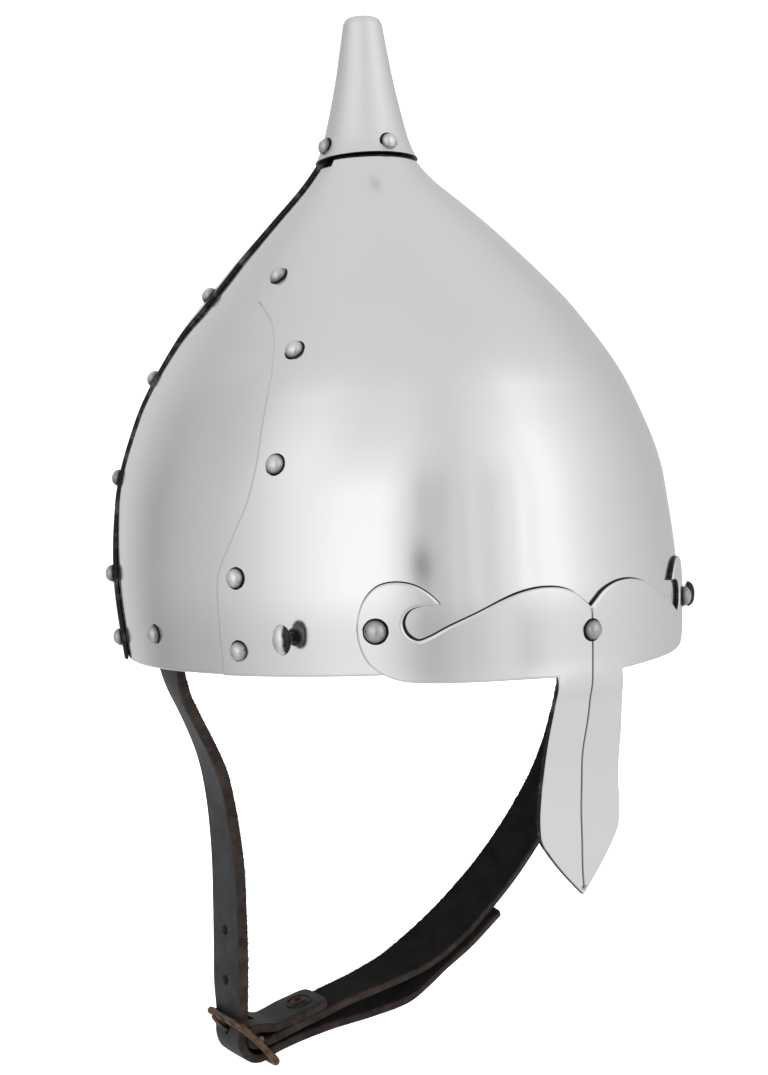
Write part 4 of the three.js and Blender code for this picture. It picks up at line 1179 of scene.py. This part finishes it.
def grain_finish():
    """Black waxed grain: fine creases and pores, slightly greyer where it is rubbed."""
    finish, tree, shader = new_finish("leather_grain")
    place = add_node(tree, "ShaderNodeTexCoord")["Object"]
    pores = add_node(tree, "ShaderNodeTexVoronoi", {"Vector": place, "Scale": 1500.0})["Distance"]
    creases = noise(tree, place, 340.0, 5.0, 0.62)
    rubbed = noise(tree, place, 70.0, 4.0, 0.6)
    height = maths(tree, "MULTIPLY_ADD", pores, 0.35, creases)
    tones = [(0.35, (0.009, 0.0094, 0.0104)), (0.75, (0.026, 0.0262, 0.028))]
    set_inputs(tree, shader, {
        "Specular IOR Level": 0.24,
        "Base Color": ramp_node(tree, rubbed, tones),
        "Roughness": to_range(tree, creases, 0.42, 0.62),
        "Normal": bumps(tree, height, 0.45, 0.00025),
    })
    return finish


def fibre_finish(name, dark, light, depth, metallic=0.0, roughness=0.93):
    """A rough and blotchy face: a raw cut edge, the suede side or rust."""
    finish, tree, shader = new_finish(name)
    place = add_node(tree, "ShaderNodeTexCoord")["Object"]
    set_inputs(tree, shader, {
        "Metallic": metallic,
        "Roughness": roughness,
        "Specular IOR Level": 0.2,
        "Base Color": ramp_node(tree, noise(tree, place, 130.0, 5.0, 0.7), [(0.34, dark), (0.7, light)]),
        "Normal": bumps(tree, noise(tree, place, 900.0, 6.0, 0.75), 0.8, depth),
    })
    return finish


leather_finishes = [
    grain_finish(),
    fibre_finish("leather_edge", (0.010, 0.008, 0.0075), (0.043, 0.031, 0.026), 0.0005),
    fibre_finish("leather_suede", (0.004, 0.0038, 0.0038), (0.0125, 0.012, 0.012), 0.0006),
]


def add_fibres(name, points, count, reach, seed):
    """Loose fibres that stand out along the flesh side's two borders of a band."""
    rings = np.asarray(points).reshape(-1, len(band_section()), 3)
    zones = [zone for _, _, zone in band_section()]
    borders = [k for k in range(len(zones)) if {zones[k], zones[(k + 1) % len(zones)]} == {1, 2}]
    loose = np.random.default_rng(seed)
    strands, faces = [], []
    for i in range(count):
        ring = rings[loose.integers(4, len(rings) - 4)]
        k = borders[i % 2]
        root = ring[k] + (ring[(k + 1) % len(zones)] - ring[k]) * loose.uniform(0, 1)
        away = root - ring.mean(0)
        away /= np.linalg.norm(away)
        bend = away + loose.normal(0, 0.55, 3)
        bend /= np.linalg.norm(bend)
        side = np.cross(bend, loose.normal(0, 1, 3))
        side /= np.linalg.norm(side)
        other = np.cross(bend, side)
        length = reach * loose.uniform(0.4, 1.2)
        curl = loose.normal(0, 0.25, 3) * length
        foot = root - away * 0.15
        start = len(strands)
        knee = root + bend * length * 0.55
        for middle, girth in ((foot, FIBRE_THICK), (knee, FIBRE_THICK * 0.8)):
            corners = (side, other * 0.87 - side / 2, -other * 0.87 - side / 2)
            strands += [middle + girth * corner for corner in corners]
        strands.append(root + bend * length + curl)
        for a, b in ((0, 1), (1, 2), (2, 0)):
            faces.append((start + a, start + b, start + 3 + b, start + 3 + a))
            faces.append((start + 3 + a, start + 3 + b, start + 6))
        faces.append((start + 2, start + 1, start))
    fluff = add_mesh(name, strands, faces, leather_finishes[1:2])
    place_piece(fluff, "black_leather")


def cut_away(piece, cutters):
    """Cuts holes in a piece and leaves one plain mesh."""
    for cutter in cutters:
        cut = piece.modifiers.new("cut", "BOOLEAN")
        cut.object = cutter
        cut.solver = "EXACT"
    graph = bpy.context.evaluated_depsgraph_get()
    result = bpy.data.meshes.new_from_object(piece.evaluated_get(graph))
    piece.modifiers.clear()
    old = piece.data
    piece.data = result
    bpy.data.meshes.remove(old)
    for cutter in cutters:
        bpy.data.objects.remove(cutter)


def punch(name, centre, direction, radius, depth):
    half = depth / 2
    points, faces, _, _ = turned_piece([(0, half), (radius, half), (radius, -half), (0, -half)], 24)
    turn = Vector(direction).to_track_quat("Z", "Y").to_matrix().to_4x4()
    placed = moved(points, Matrix.Translation(Vector(centre)) @ turn)
    return add_mesh(name, placed, faces, leather_finishes[1:2])


def add_billet():
    points, faces, kinds, uvs = band_mesh(BILLET, -1, 4)
    strap = add_mesh("billet_leather", points, faces, leather_finishes, kinds, uvs, sharp=50)
    middles = [(HOLE_X, STRAP_MIDDLE, height) for height in HOLE_HEIGHTS]
    cutters = [punch("punch", middle, (1, 0, 0.05), HOLE_RADIUS, 12) for middle in middles]
    entry = buckle_centre - TONGUE_HOLE["before"] * buckle_along + TONGUE_HOLE["out"] * buckle_out
    cutters.append(punch("tongue_punch", entry, buckle_along, TONGUE_HOLE["radius"], TONGUE_HOLE["depth"]))
    cut_away(strap, cutters)
    place_piece(strap, "black_leather", "billet_strap")
    add_fibres("billet_fibres", points, FIBRES, FIBRE_REACH, 12)


def add_buckle_strap():
    radius = MIDDLE_BAR + GAP + LEATHER / 2
    turn = [
        (middle_bar[0] + radius * math.cos(a), middle_bar[2] + radius * math.sin(a), 0, 18)
        for a in np.radians(np.arange(270, 89, -30))
    ]
    points, faces, kinds, uvs = band_mesh([*BUCKLE_STRAP, *turn, *FOLD_BACK], 1, 9)
    strap = add_mesh("buckle_strap_leather", points, faces, leather_finishes, kinds, uvs, sharp=50)
    past, reach, wide = TONGUE_SLOT.values()
    corners = np.array([(x, y, z) for x in (-1, 1) for y in (-1, 1) for z in (-1, 1)], float)
    slot = corners * (reach / 2, wide / 2, reach / 2)
    slot += (middle_bar[0] + past - reach / 2, STRAP_MIDDLE, middle_bar[2])
    sides = [(0, 1, 3, 2), (4, 6, 7, 5), (0, 4, 5, 1), (2, 3, 7, 6), (0, 2, 6, 4), (1, 5, 7, 3)]
    cut_away(strap, [add_mesh("slot_cutter", slot, sides, leather_finishes[1:2])])
    place_piece(strap, "black_leather", "buckle_strap")
    add_fibres("buckle_strap_fibres", points, FIBRES, FIBRE_REACH, 15)


add_billet()
add_buckle_strap()


# Buckle
# A frame, a middle bar and a tongue bent from brown antique bronze wire, and the small rust-brown rivet that
# closes the leather fold behind them, set in a ring that is pressed into the leather.

FOLD_RIVET = {"x": -49.6, "radius": 3.4, "rise": 0.9}
# distance from the fold rivet's middle, share of its rise
FOLD_RIVET_TOP = [(0, 0.2), (0.9, 0.1), (1.3, 0.6), (2.0, 0.9), (2.7, 0.7)]
PRESSED_RING = {"radius": 4.6, "thick": 0.5}
BAR_STEPS = 21
TONGUE_LINE = [(-3.2, 1.1), (-6.2, 1.9), (-11, 2.5), (-14.6, 2.2)]


def tube_mesh(points, radii, sides, closed):
    """A round wire along points, with rounded ends where it is open."""
    line = np.asarray(points, float)
    if closed:
        along = np.roll(line, -1, 0) - np.roll(line, 1, 0)
    else:
        along = np.gradient(line, axis=0)
    along /= np.linalg.norm(along, axis=1, keepdims=True)
    hint = np.array([0.0, 0.0, 1.0]) if abs(along[:, 2]).max() < 0.9 else np.array([0.0, 1.0, 0.0])
    first = np.cross(along, hint)
    first /= np.linalg.norm(first, axis=1, keepdims=True)
    second = np.cross(along, first)
    turn = np.arange(sides) * 2 * np.pi / sides
    ring = first[:, None] * np.cos(turn)[None, :, None] + second[:, None] * np.sin(turn)[None, :, None]
    body = line[:, None] + ring * np.asarray(radii)[:, None, None]
    places = body.reshape(-1, 3).tolist()
    faces = []
    loops = len(line) if closed else len(line) - 1
    for i in range(loops):
        j = (i + 1) % len(line)
        for k in range(sides):
            n = (k + 1) % sides
            faces.append((i * sides + k, j * sides + k, j * sides + n, i * sides + n))
    if not closed:
        faces.append(list(range(sides)))
        faces.append([(len(line) - 1) * sides + k for k in range(sides)][::-1])
    return places, faces


def bronze_finish():
    """Brown antique bronze, blotched darker and brighter at random; the real wire is dark in the hollows and
    rubbed brighter where the leather slides.
    """
    finish, tree, shader = new_finish("antique_bronze")
    cloud = noise(tree, add_node(tree, "ShaderNodeTexCoord")["Object"], 260.0, 5.0, 0.65)
    set_inputs(tree, shader, {
        "Metallic": 0.85,
        "Base Color": ramp_node(tree, cloud, [(0.3, (0.030, 0.019, 0.014)), (0.78, (0.20, 0.120, 0.075))]),
        "Roughness": to_range(tree, cloud, 0.5, 0.32),
        "Normal": bumps(tree, cloud, 0.25, 0.0001),
    })
    return finish


def to_buckle(points):
    """From the buckle's own level, along, across and inwards, to the helmet's frame."""
    flat = np.asarray(points, float)
    return buckle_centre + flat[:, :1] * buckle_along + flat[:, 1:2] * (0, 1, 0) - flat[:, 2:] * buckle_out


def add_buckle():
    reach, side, corner, bow = (BUCKLE[key] for key in ("half_length", "half_width", "corner", "bow"))
    quarter = [(reach, 0.0)]
    for degrees in range(0, 91, 10):
        turn = math.radians(degrees)
        quarter.append((reach - corner * (1 - math.cos(turn)), side - corner * (1 - math.sin(turn))))
    quarter += [(along, side) for along in np.linspace(reach - corner, 0.6, 7)[1:]]
    half = quarter + [(-a, b) for a, b in quarter[::-1]]
    loop = half + [(a, -b) for a, b in half[::-1][1:-1]]
    along, across = np.array(loop).T
    sag = bow * (1 - (along / reach) ** 2) * (1 - 0.75 * ease(-across, 0, side))
    along = np.where(along > 0, along * 1.07, along * 0.98)
    line = to_buckle(np.stack([along, across, sag], -1))
    frame_points, frame_faces = tube_mesh(line, np.full(len(line), WIRE), 20, True)
    bar = to_buckle([(0, b, bow) for b in np.linspace(-side, side, BAR_STEPS)])
    bar_points, bar_faces = tube_mesh(bar, np.full(BAR_STEPS, MIDDLE_BAR), 16, False)
    bronze = bronze_finish()
    ring = add_mesh("buckle_frame_bronze", frame_points, frame_faces, [bronze], sharp=80)
    place_piece(ring, "bronze_wire", "buckle_frame")
    rod = add_mesh("buckle_bar_bronze", bar_points, bar_faces, [bronze], sharp=60)
    place_piece(rod, "bronze_wire")
    wrap = MIDDLE_BAR + GAP + TONGUE
    hook = [(wrap * math.cos(a), bow + wrap * math.sin(a)) for a in np.radians((150, 105, 60, 15, -30, -75))]
    path = hook + [(along, -out) for along, out in TONGUE_LINE]
    fine = flow_through([(a, 0, n) for a, n in path], 0.45)
    last = len(fine) - 1
    radii = np.interp(range(len(fine)), [0, 2, last - 7, last - 1, last], [0.5, TONGUE, TONGUE, 0.7, 0.45])
    tongue_points, tongue_faces = tube_mesh(to_buckle(fine), radii, 16, False)
    tongue = add_mesh("buckle_tongue_bronze", tongue_points, tongue_faces, [bronze], sharp=60)
    place_piece(tongue, "bronze_wire", "buckle_tongue")


def add_fold_rivet():
    (x1, z1, *_), (x2, z2, *_) = FOLD_BACK[3:5]
    slope = math.atan2(z2 - z1, x2 - x1)
    height = z1 + (z2 - z1) * (FOLD_RIVET["x"] - x1) / (x2 - x1)
    top = LEATHER / 2
    radius, rise = FOLD_RIVET["radius"], FOLD_RIVET["rise"]
    rows = [(part, top + rise * share) for part, share in FOLD_RIVET_TOP]
    rows += [(radius, top + 0.05), (radius, top - 0.4), (1.4, top - 0.5)]
    under = -(LEATHER * 1.5 + 0.3)
    rows += [(1.4, under + 0.4), (radius, under + 0.2), (radius, under - 0.2)]
    rows += [(radius * 0.7, under - rise), (0, under - rise)]
    points, faces, _, _ = turned_piece(rows, 32)
    place = Matrix.Translation((FOLD_RIVET["x"], STRAP_MIDDLE, height)) @ Matrix.Rotation(-slope, 4, "Y")
    rust = fibre_finish("rust_brown", (0.022, 0.011, 0.008), (0.12, 0.055, 0.038), 0.0001, 0.6, 0.5)
    rivet = add_mesh("fold_rivet_brown", moved(points, place), faces, [rust], sharp=50)
    place_piece(rivet, "rust_brown_rivet", "fold_rivet")
    turns = np.radians(np.arange(0, 360, 7.5))
    circle = PRESSED_RING["radius"] * np.stack([np.cos(turns), np.sin(turns), 0 * turns], -1) + (0, 0, top)
    ring_points, ring_faces = tube_mesh(circle, np.full(len(turns), PRESSED_RING["thick"]), 12, True)
    pressed = moved(np.array(ring_points), place)
    ring = add_mesh("pressed_ring", pressed, ring_faces, leather_finishes[:1], sharp=80)
    place_piece(ring, "black_leather")


add_buckle()
add_fold_rivet()
